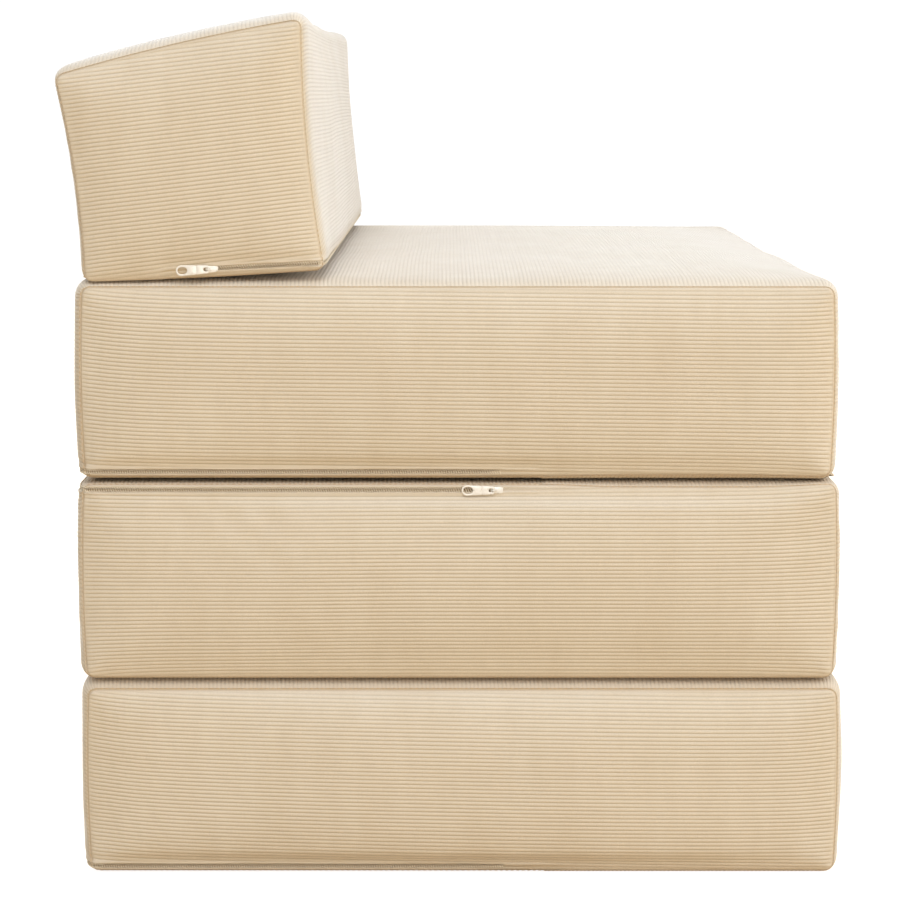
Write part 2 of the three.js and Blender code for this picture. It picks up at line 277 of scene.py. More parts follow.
def grid_normals(points: Array, around: bool = False) -> Array:
    """Unit normals of a grid: the cross product of its two central differences.

    Args:
        points: rows x columns x 3.
        around: whether the columns close on themselves.

    Returns:
        rows x columns x 3 unit vectors.
    """
    down = np.gradient(points, axis=0)
    if around:
        across = np.roll(points, -1, 1) - np.roll(points, 1, 1)
    else:
        across = np.gradient(points, axis=1)
    return to_unit(np.cross(across, down))


def tube(path: Array, radius: float | Array, sides: int) -> Surface:
    """A round tube along a path: each section is a circle across the path's direction.

    Args:
        path: N x 3 points.
        radius: one radius or one for each point.
        sides: points round each section.

    Returns:
        The closed surface.
    """
    ahead = to_unit(np.gradient(path, axis=0))
    guide = np.where(np.abs(ahead[:, [2]]) < 0.9, [[0.0, 0.0, 1.0]], [[1.0, 0.0, 0.0]])
    first = to_unit(np.cross(guide, ahead))
    second = np.cross(ahead, first)
    angle = angles(sides)
    reach = np.broadcast_to(np.asarray(radius, float).reshape(-1, 1, 1), (len(path), 1, 1))
    ring = first[:, None] * np.cos(angle)[None, :, None] + second[:, None] * np.sin(angle)[None, :, None]
    return lofted(path[:, None] + ring * reach)


def repeated(unit: Surface, places: Array, axes: Array) -> Surface:
    """Copies of a small surface, each turned into its own axes: point = place + axes x unit point.

    Args:
        unit: the surface in its own frame.
        places: N x 3 origins.
        axes: N x 3 x 3, the unit's x, y and z directions as rows.

    Returns:
        The joined copies.
    """
    count = len(places)
    size = len(unit.points)
    points = places[:, None] + np.einsum("pk,nkj->npj", unit.points, axes)
    steps = np.arange(count)[:, None, None] * size
    return Surface(
        points.reshape(-1, 3),
        (unit.quads[None] + steps).reshape(-1, 4),
        (unit.triangles[None] + steps).reshape(-1, 3),
    )


def zipper_triangles(a: Array, a_numbers: Array, b: Array, b_numbers: Array) -> Array:
    """Triangles that join two closed loops of points, taken in the order of a shared parameter.

    The parameters of both loops are sorted together; each step along one loop makes a triangle with the
    point last passed on the other.

    Args:
        a: parameters of the first loop's points.
        a_numbers: their point numbers.
        b: parameters of the second loop's points.
        b_numbers: their point numbers.

    Returns:
        K x 3 array of point numbers.
    """
    a_order, b_order = np.argsort(a, kind="stable"), np.argsort(b, kind="stable")
    a, a_numbers = a[a_order], a_numbers[a_order]
    b, b_numbers = b[b_order], b_numbers[b_order]
    which = np.concatenate([np.zeros(len(a), int), np.ones(len(b), int)])
    order = np.argsort(np.concatenate([a, b]), kind="stable")
    which = which[order]
    passed_a = np.cumsum(which == 0)
    passed_b = np.cumsum(which == 1)
    here_a = (passed_a - 1) % len(a)
    here_b = (passed_b - 1) % len(b)
    step_a = np.stack([a_numbers[(here_a - 1) % len(a)], a_numbers[here_a], b_numbers[here_b]], -1)
    step_b = np.stack([b_numbers[here_b], b_numbers[(here_b - 1) % len(b)], a_numbers[here_a]], -1)
    return np.where((which == 0)[:, None], step_a, step_b)


# Outlines


@dataclass(frozen=True)
class Side:
    """One side of a cushion: how far it swells past its end seam, and how far it bows between its corners."""

    drawn_in: float
    bow: float


@dataclass(frozen=True)
class Outline:
    """The sewn outline of a cushion in its XZ plane, anticlockwise from the bottom side's back end.

    The parameter u counts sides: its whole part is the side and its fraction the place on it.

    Attributes:
        corners: the four corners (x, z).
        sides: the four sides, which are the bottom, the front, the top and the back.
        reach: how far from a corner its curve starts, in millimetres.
        softer: how much further it starts where the swell is full, as a share.
        straight: share of a side's parameter that runs straight, before the next corner's curve.
    """

    corners: tuple[tuple[float, float], ...]
    sides: tuple[Side, ...]
    reach: float = 8.5
    softer: float = 0.7
    straight: float = 0.8

    def edges(self) -> tuple[Array, Array]:
        """The corners, and the unit direction from each to the next."""
        corners = np.array(self.corners, float)
        return corners, to_unit(np.roll(corners, -1, 0) - corners)

    def at(self, u: Array, drawn: Array, inset: Array) -> Array:
        """Points of the outline: four pushed-out bowed sides joined by quadratic curves at the corners.

        Args:
            u: N parameters from 0 to 4.
            drawn: K shares, 1 at the end seam and 0 where the swell is full.
            inset: K distances inwards from the outline.

        Returns:
            K x N x 2 points (x, z).
        """
        corners, along = self.edges()
        outward = np.stack([along[:, 1], -along[:, 0]], 1)
        swell = np.array([side.drawn_in for side in self.sides])
        bow = np.array([side.bow for side in self.sides])
        push = swell[None] * (1 - drawn[:, None]) - inset[:, None]
        start = corners[None] + outward[None] * push[..., None]
        before = np.roll(start, 1, 1)
        before_along = np.roll(along, 1, 0)
        step = start - before
        share = step[..., 0] * along[:, 1] - step[..., 1] * along[:, 0]
        share = share / (before_along[:, 0] * along[:, 1] - before_along[:, 1] * along[:, 0])
        corner = before + before_along[None] * share[..., None]
        length = np.linalg.norm(np.roll(corner, -1, 1) - corner, axis=-1)
        softer = 1 + self.softer * (1 - drawn)
        rounding = (np.maximum(self.reach - inset, self.reach / 2) * softer)[:, None]

        side = np.floor(u).astype(int) % 4
        fraction = u - np.floor(u)
        after = (side + 1) % 4

        def on_side(which: Array, distance: Array) -> Array:
            """Points at distances along sides, pushed out by each side's bow.

            Args:
                which: the sides' numbers.
                distance: distances from the sides' starts.

            Returns:
                K x N x 2 points.
            """
            out = bow[which] * (1 - (2 * distance / length[:, which] - 1) ** 2)
            return corner[:, which] + along[which] * distance[..., None] + outward[which] * out[..., None]

        share = np.clip(fraction / self.straight, 0, 1)
        plain = on_side(side, rounding + share * (length[:, side] - 2 * rounding))
        turn = np.clip((fraction - self.straight) / (1 - self.straight), 0, 1)[None, :, None]
        end = on_side(after, np.broadcast_to(rounding, plain.shape[:2]))
        curve = (1 - turn) ** 2 * plain + 2 * turn * (1 - turn) * corner[:, after] + turn ** 2 * end
        return np.where((fraction > self.straight)[None, :, None], curve, plain)

    def spaced(self, places: Array, around: float) -> Array:
        """Parameters u at places along the full outline, counted in units of which it has around."""
        u, total = self.measured(8001)
        return np.interp(places / around * total[-1], total, u)

    def measured(self, count: int) -> tuple[Array, Array]:
        """The outline's length, where the swell is full.

        Args:
            count: how many parameters to measure at.

        Returns:
            The parameters, and the length up to each of them.
        """
        u = np.linspace(0, 4, count)
        return u, length_along(self.at(u % 4, np.zeros(1), np.zeros(1))[0])


@dataclass(frozen=True)
class Placement:
    """Where a cushion's own frame stands: a shift in X and Z after a lean back about Y."""

    x: float
    z: float
    tilt: float = 0.0

    def place(self, points: Array) -> Array:
        """Points of the cushion's frame in the object's frame.

        Args:
            points: any array of (x, y, z).

        Returns:
            The turned and shifted points.
        """
        x, y, z = points[..., 0], points[..., 1], points[..., 2]
        c, s = cos(self.tilt), sin(self.tilt)
        return np.stack([self.x + x * c - z * s, y, self.z + x * s + z * c], -1)


@dataclass(frozen=True)
class ZipLine:
    """A zip round one end of a cushion.

    Attributes:
        height: its height in the cushion's frame.
        end: X where it ends on the end panels.
        toward: 1 or -1, the X direction in which it runs from there.
        side: 1 or -1, the Y direction of the end panel that the slider is on.
        puller_toward: the X direction in which the puller points from its bail.
        slot: width of its groove.
        depth: depth of the groove.
        slit: how far the folded edges stay apart past the zip's end.
    """

    height: float
    end: float
    toward: int
    side: int
    puller_toward: int = -1
    slot: float = 4.2
    depth: float = 1.5
    slit: float = 34.0


@dataclass(frozen=True)
class Lie:
    """How the wales of an end panel leave the level, as the cloth was pulled when it was sewn.

    At s millimetres from the panel's back a wale has dropped by tilt x s + back x (1 - exp(-s / reach))
    + front x exp(-(length - s) / reach). Back and front change evenly from the panel's bottom to its top.
    """

    tilt: float
    back: tuple[float, float] = (0.0, 0.0)
    front: tuple[float, float] = (0.0, 0.0)
    reach: float = 42.0

    def sag(self, s: Array, up: Array, length: float) -> Array:
        """How far a wale has dropped.

        Args:
            s: distances from the panel's back.
            up: shares of its height.
            length: its length.

        Returns:
            The drop at each place.
        """
        back = self.back[0] + (self.back[1] - self.back[0]) * up
        front = self.front[0] + (self.front[1] - self.front[0]) * up
        at_back = back * (1 - np.exp(-np.maximum(s, 0) / self.reach))
        return self.tilt * s + at_back + front * np.exp(-np.maximum(length - s, 0) / self.reach)


@dataclass(frozen=True)
class Hem:
    """Where the end seams of one side give way: the side's number, from which X to which, and how far up."""

    side: int
    start: float
    end: float
    lift: float


def smooth(low: float, high: float, value: Array) -> Array:
    """Smoothstep from 0 at low to 1 at high."""
    t = np.clip((value - low) / (high - low), 0, 1)
    return t * t * (3 - 2 * t)


@dataclass
class Waves:
    """Soft unevenness of cloth: a sum of sines of two lengths on the surface, seeded by the cushion."""

    seed: int
    shortest: float
    longest: float
    count: int = 7

    def __post_init__(self) -> None:
        """Draws the waves' directions, lengths and phases once."""
        source = np.random.default_rng(self.seed)
        self.angle = source.uniform(0, pi, self.count)
        self.length = source.uniform(self.shortest, self.longest, self.count)
        self.phase = source.uniform(0, 2 * pi, self.count)

    def at(self, a: Array, b: Array) -> Array:
        """The sines' sum at places (a, b), over the root of their number.

        Args:
            a: one coordinate on the surface.
            b: the other.

        Returns:
            The height, within about -1 to 1.
        """
        total = np.zeros(np.broadcast(a, b).shape)
        for angle, length, phase in zip(self.angle, self.length, self.phase):
            total += np.sin(2 * pi * (a * cos(angle) + b * sin(angle)) / length + phase)
        return total / self.count ** 0.5


# Cushions


@dataclass
class Cushion:
    """A zipped corduroy cover over foam: a wrap panel round it and a domed panel at each end.

    The two kinds of panel turn inwards over a small radius and meet in a sewn crease. Wales run along Y on
    the wrap and along X on the ends.

    Attributes:
        resting: numbers of the sides that rest on something.
        covered: X up to which the next cushion lies on this one.
        rests_at: height that the resting side settles on, in the object's frame.
        seam_sheen_fade: how much of the top's painted sheen and shader sheen is taken off beside its seams.
        crown: how far the top swells up.
        folds: the planes at its back and front that it keeps clear of.
        hem: where its seams give way.
        turn_radius: radius over which a panel turns into the crease, and turn_angle how far it turns.
        crease_wrap: where the wrap ends in the crease, along Y and inwards, in turn radii.
        crease_panel: how far in the end panel ends, in turn radii.
        waves: height of the broad unevenness, and wander how far the wales leave their lines.
        pucker: height of the puckers at the seams.
    """

    body: Body
    outline: Outline
    placement: Placement
    zip: ZipLine
    lie: Lie
    resting: tuple[int, ...]
    seed: int
    covered: float = -1000.0
    rests_at: float | None = None
    seam_sheen_fade: float = 0.0
    crown: float = 0.0
    folds: tuple[float | None, float | None] = (None, None)
    hem: Hem | None = None
    turn_radius: float = 1.5
    turn_angle: float = radians(65)
    crease_wrap: tuple[float, float] = (0.83, 0.63)
    crease_panel: float = 0.62
    waves: float = 0.4
    wander: float = 0.5
    pucker: float = 0.22

    def __post_init__(self) -> None:
        """Sets up the unevenness and the distance of the virtual edge from where the turn starts."""
        self.unevenness = Waves(self.seed, 130, 420)
        self.drift = Waves(self.seed + 50, 240, 700)
        self.puckers = Waves(self.seed + 90, 10, 30)
        self.turn_reach = self.turn_radius * (sin(self.turn_angle) + 1 - cos(self.turn_angle))
        self.girth = float(self.outline.measured(4001)[1][-1])

    @property
    def extent(self) -> tuple[float, float, float, float]:
        """The outline's back, bottom, front and top."""
        corners = np.array(self.outline.corners, float)
        return (*corners.min(0), *corners.max(0))

    def free(self, u: Array) -> Array:
        """How free the cloth is at outline parameters.

        Args:
            u: the parameters.

        Returns:
            1 where nothing touches it, falling to 0 on the sides that rest on something.
        """
        share = np.ones(np.shape(u))
        half = self.outline.straight / 2
        for side in self.resting:
            from_middle = np.abs((u - side - half + 2) % 4 - 2)
            share = share * smooth(half + 0.04, half + 0.24, from_middle)
        return share

    def sag(self, x: Array, z: Array) -> Array:
        """How far the wales of the end panels have dropped at (x, z)."""
        back, low, front, high = self.extent
        return self.lie.sag(x - back, (z - low) / (high - low), front - back)

    def held(self, points: Array) -> Array:
        """The cloth kept clear of the fold planes at its back and front, so that it has room in the bed.

        Within 2 mm of a plane the distance d becomes 2 exp(d / 2 - 1), which never reaches it.

        Args:
            points: points of the cushion's frame.

        Returns:
            The moved points.
        """
        points = points.copy()
        for sign, fold in zip((1, -1), self.folds):
            if fold is not None:
                apart = sign * (points[..., 0] + self.placement.x - fold)
                kept = np.where(apart < 2, 2 * np.exp(np.minimum(apart, 2) / 2 - 1), apart)
                points[..., 0] += sign * (kept - apart)
        return points

    def lower(self, z: Array) -> Array:
        """How much more the cloth leans back at a height: 0.6 at the cushion's bottom and -0.6 at its top."""
        _, low, _, high = self.extent
        return 0.6 * (1 - 2 * np.clip((z - low) / (high - low), 0, 1))

    # Grids

    def outlined(self, u: Array, drawn: Array, inset: Array) -> Array:
        """Points of the outline whose seam gives way at the hem.

        Args:
            u: N parameters.
            drawn: K shares, 1 at the end seam.
            inset: K distances inwards.

        Returns:
            K x N x 2 points (x, z).
        """
        flat = self.outline.at(u, drawn, inset)
        if self.hem is not None:
            x = flat[..., 0]
            here = smooth(self.hem.start, self.hem.start + 70, x) * (1 - smooth(self.hem.end - 60, self.hem.end, x))
            here = here * (np.floor(u).astype(int) % 4 == self.hem.side)[None]
            flat[..., 1] += self.hem.lift * here * drawn[:, None]
        return flat

    def stations(self, past: Array) -> tuple[Array, Array]:
        """Distances from the end plane and insets of the wrap's stations, from the crease to the middle.

        Args:
            past: distances of the stations past the turn.

        Returns:
            Distances and insets of one half, from the crease inwards.
        """
        angle = np.radians([60, 47, 33, 18, 5])
        turned = self.turn_reach - self.turn_radius * np.sin(angle)
        inset = self.turn_radius * (1 - np.cos(angle))
        distance = np.concatenate([[self.crease_wrap[0] * self.turn_radius], turned, past])
        return distance, np.concatenate([[self.crease_wrap[1] * self.turn_radius], inset, np.zeros(len(past))])

    def wrap_grid(self, u: Array, past: Array) -> tuple[Array, Array]:
        """The smooth wrap: the outline swelling with its distance from the end seams.

        Args:
            u: the outline parameters of the columns.
            past: distances of the stations past the turn, up to half the width.

        Returns:
            stations x columns x 3 points, and each station's distance from the nearer seam.
        """
        distance, inset = self.stations(past)
        distance = np.concatenate([distance, distance[-2::-1]])
        inset = np.concatenate([inset, inset[-2::-1]])
        drawn = np.clip(1 - distance / SWELL_ZONE, 0, 1) ** SWELL_POWER
        flat = self.outlined(u, drawn, inset)
        half = len(distance) // 2
        drawn_in = LIP * LIP_SHARE * self.lower(flat[..., 1]) * np.exp(-distance / 12)[:, None]
        y = EDGE_HALF - distance[:, None] - drawn_in
        y[:half] *= -1
        points = np.stack([flat[..., 0], y, flat[..., 1]], -1)
        if self.crown:
            front = self.extent[2]
            here = smooth(self.covered - 30, self.covered + 130, points[..., 0])
            here = here * (1 - smooth(front - 90, front - 8, points[..., 0]))
            here = here * (np.floor(u).astype(int) % 4 == 2)[None] * smooth(0, 170, distance)[:, None]
            points[..., 2] += self.crown * here
        if self.rests_at is not None:
            tilt = self.placement.tilt
            plane = (self.rests_at - self.placement.z - points[..., 0] * sin(tilt)) / cos(tilt)
            share = (1 - drawn)[:, None] * (1 - self.free(u))[None] * (1 - smooth(70, 160, points[..., 0]))
            points[..., 2] += share * (plane + inset[:, None] - points[..., 2])
        return points, distance

    def crease_loop(self, count: int) -> tuple[Array, Array]:
        """Parameters and points (x, z) of the end panel's own edge in the crease."""
        u = np.arange(count) * 4 / count
        return u, self.outlined(u, np.ones(1), np.full(1, self.crease_panel * self.turn_radius))[0]

    def wale_levels(self) -> tuple[Array, Array, Array]:
        """The crease loop's parameters and points, and the level of the wale through each of them."""
        u, loop = self.crease_loop(3200)
        return u, loop, loop[:, 1] + self.sag(loop[:, 0], loop[:, 1])

    def row_ends(self, level: Array) -> tuple[Array, Array, Array, Array]:
        """Where rows along the wales meet the crease: x and u at their back and front ends.

        Args:
            level: the rows' levels, which are their heights where the wales haven't dropped.

        Returns:
            Back x, back u, front x and front u.
        """
        u, loop, levels = self.wale_levels()
        count = len(u)
        lowest, highest = int(np.argmin(levels)), int(np.argmax(levels))
        front = np.arange(lowest, lowest + (highest - lowest) % count + 1)
        back = np.arange(highest, highest + (lowest - highest) % count + 1)[::-1]
        ends = []
        for chain in (back, front):
            rising = np.maximum.accumulate(levels[chain % count]) + 1e-9 * np.arange(len(chain))
            ends.append(np.interp(level, rising, loop[chain % count, 0]))
            ends.append(np.interp(level, rising, chain * 4 / count))
        return ends[0], ends[1], ends[2], ends[3]

    def from_crease(self, x: Array, z: Array) -> tuple[Array, Array]:
        """Distance of points of the end panel from its edge: the least over the loop's straight pieces.

        Args:
            x: the points' x.
            z: their z.

        Returns:
            The distances, and the nearest places along the edge as shares of it.
        """
        _, loop = self.crease_loop(480)
        nearest = np.zeros(x.shape)
        after = np.roll(loop, -1, 0) - loop
        length = np.einsum("ij,ij->i", after, after)
        best = np.full(x.shape, np.inf)
        flat = np.stack([x.ravel(), z.ravel()], -1)
        for at in np.array_split(np.arange(len(flat)), max(1, len(flat) // 4000)):
            away = flat[at, None] - loop[None]
            share = np.clip(np.einsum("pij,ij->pi", away, after) / length, 0, 1)
            gap = away - share[..., None] * after
            reach = np.einsum("pij,pij->pi", gap, gap)
            found = np.argmin(reach, 1)
            best.ravel()[at] = np.sqrt(reach[np.arange(len(at)), found])
            nearest.ravel()[at] = (found + share[np.arange(len(at)), found]) / len(loop)
        return best, nearest

    def rise(self, x: Array, z: Array) -> Array:
        """How far the end panel domes out of the seam's plane, from a blended distance to its four sides.

        It is a soft step and a parabola, and beside the seam the cloth leans back, so that it meets the
        frame's plane where the zip lies.

        Args:
            x: the points' x.
            z: their z.

        Returns:
            The rise.
        """
        corners, along = self.outline.edges()
        away = np.stack([x, z], -1)[..., None, :] - corners
        gap = away[..., 1] * along[:, 0] - away[..., 0] * along[:, 1]
        blended = (np.maximum(gap, 0.5) ** -3.0).sum(-1) ** (-1 / 3)
        bulge = END_BULGE * (1 - np.clip(1 - blended / SWELL_ZONE, 0, 1) ** 2)
        lean = LIP * (1 + self.lower(z)) * (1 - np.exp(-blended / LIP_REACH) - LIP_SHARE)
        dome = 0.5 * END_DOME * (1 - np.exp(-(np.maximum(blended - DOME_START, 0) / DOME_REACH) ** DOME_POWER))
        return dome + bulge - AT_ZIP + lean

    def drop(self, distance: Array) -> Array:
        """How far the end panel turns in near its edge: an arc, and the last step into the crease.

        Args:
            distance: distances from the edge.

        Returns:
            The drop from the panel's plane.
        """
        reach = distance / self.turn_radius
        across = np.clip(sin(self.turn_angle) - reach - 0.04, 0, 1)
        return self.turn_radius * (1 - np.sqrt(1 - across ** 2) + 0.18 * np.exp(-reach / 0.08))

    def face(self, x: Array, z: Array, side: int) -> tuple[Array, Array, Array]:
        """Points of the smooth end panel: y is the seam's plane and the rise, less the drop.

        Args:
            x: the points' x.
            z: their z.
            side: -1 at the near end and 1 at the far end.

        Returns:
            The points, their distances from the edge, and the nearest places along it as shares.
        """
        distance, nearest = self.from_crease(x, z)
        y = side * (SEAM_HALF - self.drop(distance) + self.rise(x, z))
        return np.stack([x, y, z], -1), distance, nearest

    def panel_grid(self, level: Array, shares: Array, side: int) -> tuple[Array, Array, Array]:
        """A smooth end panel: rows along the wales from crease to crease.

        A row's height is its level less the wales' drop there, which is found by repeating that sum.

        Args:
            level: levels of the rows.
            shares: places along each row from 0 to 1.
            side: -1 at the near end and 1 at the far end.

        Returns:
            rows x columns x 3 points, their distances from the edge, and the nearest places along it.
        """
        back, _, front, _ = self.row_ends(level)
        x = back[:, None] + (front - back)[:, None] * shares[None]
        z = np.broadcast_to(level[:, None], x.shape)
        for _ in range(5):
            z = level[:, None] - self.sag(x, z)
        return self.face(x, z, side)

    # Wales and zip

    def zip_sink(self, points: Array, gap: Array) -> tuple[Array, Array, Array]:
        """How deep the zip's groove is at points, and how much of the wale stays beside it and at the seams.

        Past the zip's end the two folded edges close to a slit.

        Args:
            points: points of the cushion's frame.
            gap: their distances from the seam.

        Returns:
            The depth, below zero on the rolled lip, the share of the wale that is kept, and the painted
            shade in the slit and along the groove's edges.
        """
        off = np.abs(points[..., 2] - self.zip.height)
        along = (points[..., 0] - self.zip.end) * self.zip.toward
        there = smooth(-3.0, 3.0, along)
        closed = smooth(-self.zip.slit, 4 - self.zip.slit, along) * (1 - there)
        half = self.zip.slot / 2
        groove = self.zip.depth * (1 - smooth(half - 0.7, half + 0.1, off)) * there
        slit = 0.7 * np.exp(-(off / 0.45) ** 2) * closed
        lip = 0.35 * smooth(half - 0.2, half + 0.5, off) * (1 - smooth(half + 1.2, half + 2.6, off)) * there
        flattened = 1 - smooth(half + 1.0, half + 2.6, off)
        edge = np.exp(-((off - half) / 0.35) ** 2) * there
        pressed = 0.6 * smooth(half, half + 1.2, off) * (1 - smooth(6, 12, off)) * (there + closed)
        kept = (1 - flattened * (there + closed)) * self.squeezed(gap)
        # The third value is painted shade, in the closed slit and along the groove's edges.
        return groove + slit - lip + pressed, kept, np.maximum(1.3 * slit, 0.35 * edge)

    def cover(self) -> tuple[Surface, Array]:
        """The ribbed cover as one closed surface: each grid's points move along its normals by their wale.

        Returns:
            The surface in the cushion's frame, and the wrap's grid without wales.
        """
        wales = round(self.girth / WALE_PITCH)
        places = (np.arange(wales)[:, None] + WALE_PHASES[None]).ravel()
        u = self.outline.spaced(places, wales)
        past = np.array([3.2, 4.6, 6.6, 9, 12, 15.5, 20, 26, 34, 46, 62, 86, 120, 164, 212, 268, 330, EDGE_HALF])
        wrap, distance = self.wrap_grid(u, past)
        stuffing = Stuffing(self)
        wrap = self.held(wrap + stuffing.on_wrap(places / wales, distance))
        height = np.tile(WALE_HEIGHTS, wales)
        along = (u * self.girth / 4)[None]
        gap = distance[:, None]
        free = self.free(u)[None]
        normal = -grid_normals(wrap, around=True)
        tangent = to_unit(np.roll(wrap, -1, 1) - np.roll(wrap, 1, 1))
        uneven = self.uneven(along, wrap[..., 1], gap, along, free) * (1 + 1.6 * smooth(20, 90, gap))
        drift = self.wander * smooth(0, 30, gap) * self.drift.at(along, wrap[..., 1])
        sink, kept, zip_shade = self.zip_sink(wrap, gap)
        open_ring = np.ones(len(distance))
        open_ring[[0, -1]] = 0
        wale = WALE_HEIGHT * (height[None] - 1 + 0.4 * free)
        lift = (wale * kept + uneven - sink) * open_ring[:, None]
        ribbed = wrap + normal * lift[..., None] + tangent * drift[..., None]
        shade = height[None] * kept + 0.8 * (1 - kept)
        # Painted shade: the seam value darkens the crease, the gaps beside the resting sides and the zip's slit and
        # groove edges.
        seam = np.maximum(np.maximum(0.8 * np.exp(-gap / 0.6), 0.45 * (1 - free) * np.exp(-gap / 6)), zip_shade)
        # The sheen mask: where the painted sheen and the shader's sheen apply, off on resting sides and where the
        # next cushion covers the cloth.
        beside = 0.8 * np.exp(-gap / 45)
        sheen_mask = free * np.maximum(smooth(-60, 60, wrap[..., 0] - self.covered), beside)
        # Less painted sheen and shader sheen on the top beside its seams: a painted shade gradient.
        sheen_mask = sheen_mask * (1 - self.seam_sheen_fade * np.exp(-gap / 55) * smooth(0.6, 0.9, normal[..., 2]))
        parts = [self.part(ribbed, shade, seam, sheen_mask, True)]

        level, row_height = self.rows()
        shares = self.panel_shares()
        for side in (-1, 1):
            grid, gap, nearest = self.panel_grid(level, shares, side)
            off_zip = smooth(2, 16, np.abs(grid[..., 2] - self.zip.height))
            grid = grid + stuffing.on_panel(level, shares, side) * off_zip[..., None]
            normal = -side * grid_normals(grid)
            uneven = self.uneven(grid[..., 0] + 400 * side, grid[..., 2], gap, nearest * self.girth, 1.0)
            drift = self.wander * smooth(0, 22, gap) * self.drift.at(grid[..., 0] + 300 * side, grid[..., 2])
            sink, kept, zip_shade = self.zip_sink(grid, gap)
            lift = WALE_HEIGHT * (row_height[:, None] - 0.6) * kept + uneven - sink
            ribbed = grid + normal * lift[..., None] + np.array([0.0, 0.0, 1.0]) * drift[..., None]
            shade = row_height[:, None] * kept + 0.8 * (1 - kept)
            # Painted shade in the panel's crease and in the zip's slit and groove edges.
            seam = np.maximum(0.8 * np.exp(-gap / 0.45), zip_shade)
            parts.append(self.part(ribbed, shade, seam, np.ones(1), False))
        return self.sewn(parts, wrap.shape[:2], u, level, shares), wrap

    def sewn(self, parts: list[Surface], wrap: tuple[int, int], u: Array, level: Array, shares: Array) -> Surface:
        """The wrap and the two end panels as one closed surface, joined in the creases.

        Args:
            parts: the wrap, the near and the far end panel.
            wrap: stations and columns of the wrap.
            u: parameters of the wrap's columns.
            level: levels of the panels' rows.
            shares: places along the panels' rows.

        Returns:
            The closed surface.
        """
        whole = Surface.joined(parts)
        _, back_u, _, front_u = self.row_ends(level)
        numbers = np.arange(len(level) * len(shares)).reshape(len(level), len(shares))
        edge = np.concatenate([numbers[0], numbers[1:-1, -1], numbers[-1, ::-1], numbers[-2:0:-1, 0]])
        edge_u = np.concatenate([
            back_u[0] + ((front_u[0] - back_u[0]) % 4) * shares,
            front_u[1:-1],
            back_u[-1] - ((back_u[-1] - front_u[-1]) % 4) * shares[::-1],
            back_u[-2:0:-1],
        ]) % 4
        stations, columns = wrap
        first = stations * columns
        panel = numbers.size
        near = zipper_triangles(u, np.arange(columns), edge_u, edge + first)
        far_ring = np.arange(columns) + (stations - 1) * columns
        far = zipper_triangles(u, far_ring, edge_u, edge + first + panel)
        around, across = grid_quads(stations, columns, True), grid_quads(len(level), len(shares))
        whole.quads = np.concatenate([around[:, ::-1], across + first, across[:, ::-1] + first + panel])
        whole.triangles = np.concatenate([near, far[:, ::-1]])
        return whole.facing_out()

    def uneven(self, a: Array, b: Array, gap: Array, edge: Array, free: Array | float) -> Array:
        """Height of the cloth's unevenness: broad waves away from the seams and short puckers beside them.

        Args:
            a: one place on the panel.
            b: the other.
            gap: distance from the seam.
            edge: place along the seam.
            free: share that is kept.

        Returns:
            The height.
        """
        broad = self.waves * smooth(0, 26, gap) * self.unevenness.at(a, b)
        beside = np.exp(-gap / 7) * smooth(0.2, 3.5, gap)
        return (broad + self.pucker * beside * self.puckers.at(edge, 0.3 * gap)) * free

    @staticmethod
    def squeezed(gap: Array) -> Array:
        """Share of a wale's height that is left beside a seam."""
        return smooth(-0.2, 1.2, gap) * (0.45 + 0.55 * smooth(0.5, 7, gap))

    def rows(self) -> tuple[Array, Array]:
        """The end panels' rows, with more of them at the zip's edges.

        Returns:
            Their levels and the wale's height on each.
        """
        _, _, levels = self.wale_levels()
        low, high = levels.min(), levels.max()
        wales = np.arange(int((high - low) / WALE_PITCH) + 1)
        level = low + (wales[:, None] + WALE_PHASES[None]).ravel() * WALE_PITCH
        start = np.array(self.zip.end - self.zip.toward * self.zip.slit / 2)
        middle = self.zip.height + self.sag(start, np.array(self.zip.height))
        half = self.zip.slot / 2
        edges = middle + np.array([-half - 0.2, -half + 0.3, -0.8, -0.4, 0.0, 0.4, 0.8, half - 0.3, half + 0.2])
        level = np.sort(np.concatenate([level[np.abs(level - middle) > half + 0.5], edges]))
        level = level[(level > low + 0.2) & (level < high - 0.2)]
        level = np.concatenate([[low + 0.02], level, [high - 0.02]])
        phase = ((level - low) / WALE_PITCH) % 1
        return level, np.interp(phase, WALE_PHASES, WALE_HEIGHTS, period=1)

    def panel_shares(self) -> Array:
        """Places along the end panel's rows: dense at both seams and along the zip.

        Returns:
            Shares of a row's length.
        """
        _, loop = self.crease_loop(3200)
        back, front = loop[:, 0].min(), loop[:, 0].max()
        width = front - back
        reach = np.array([0, 0.15, 0.4, 0.8, 1.3, 2.1, 3.4, 5.5, 9, 14, 21, 30, 42, 58, 78, 105, 140, 185, 235])
        reach = reach[reach < width / 2 - 8]
        stop = back if self.zip.toward < 0 else front
        first, last = sorted((self.zip.end - self.zip.toward * (self.zip.slit + 4), stop))
        along = np.arange(first, last, 6.5)
        at_zip = self.zip.end + np.array([-5, -3, -1.8, -0.6, 0.6, 1.8, 3, 5])
        inner = (np.concatenate([along, at_zip]) - back) / width
        inner = inner[(inner > 10 / width) & (inner < 1 - 10 / width)]
        shares = np.sort(np.concatenate([reach / width, 1 - reach / width, [0.5], inner]))
        return shares[np.concatenate([[True], np.diff(shares) > 0.14 / width])]

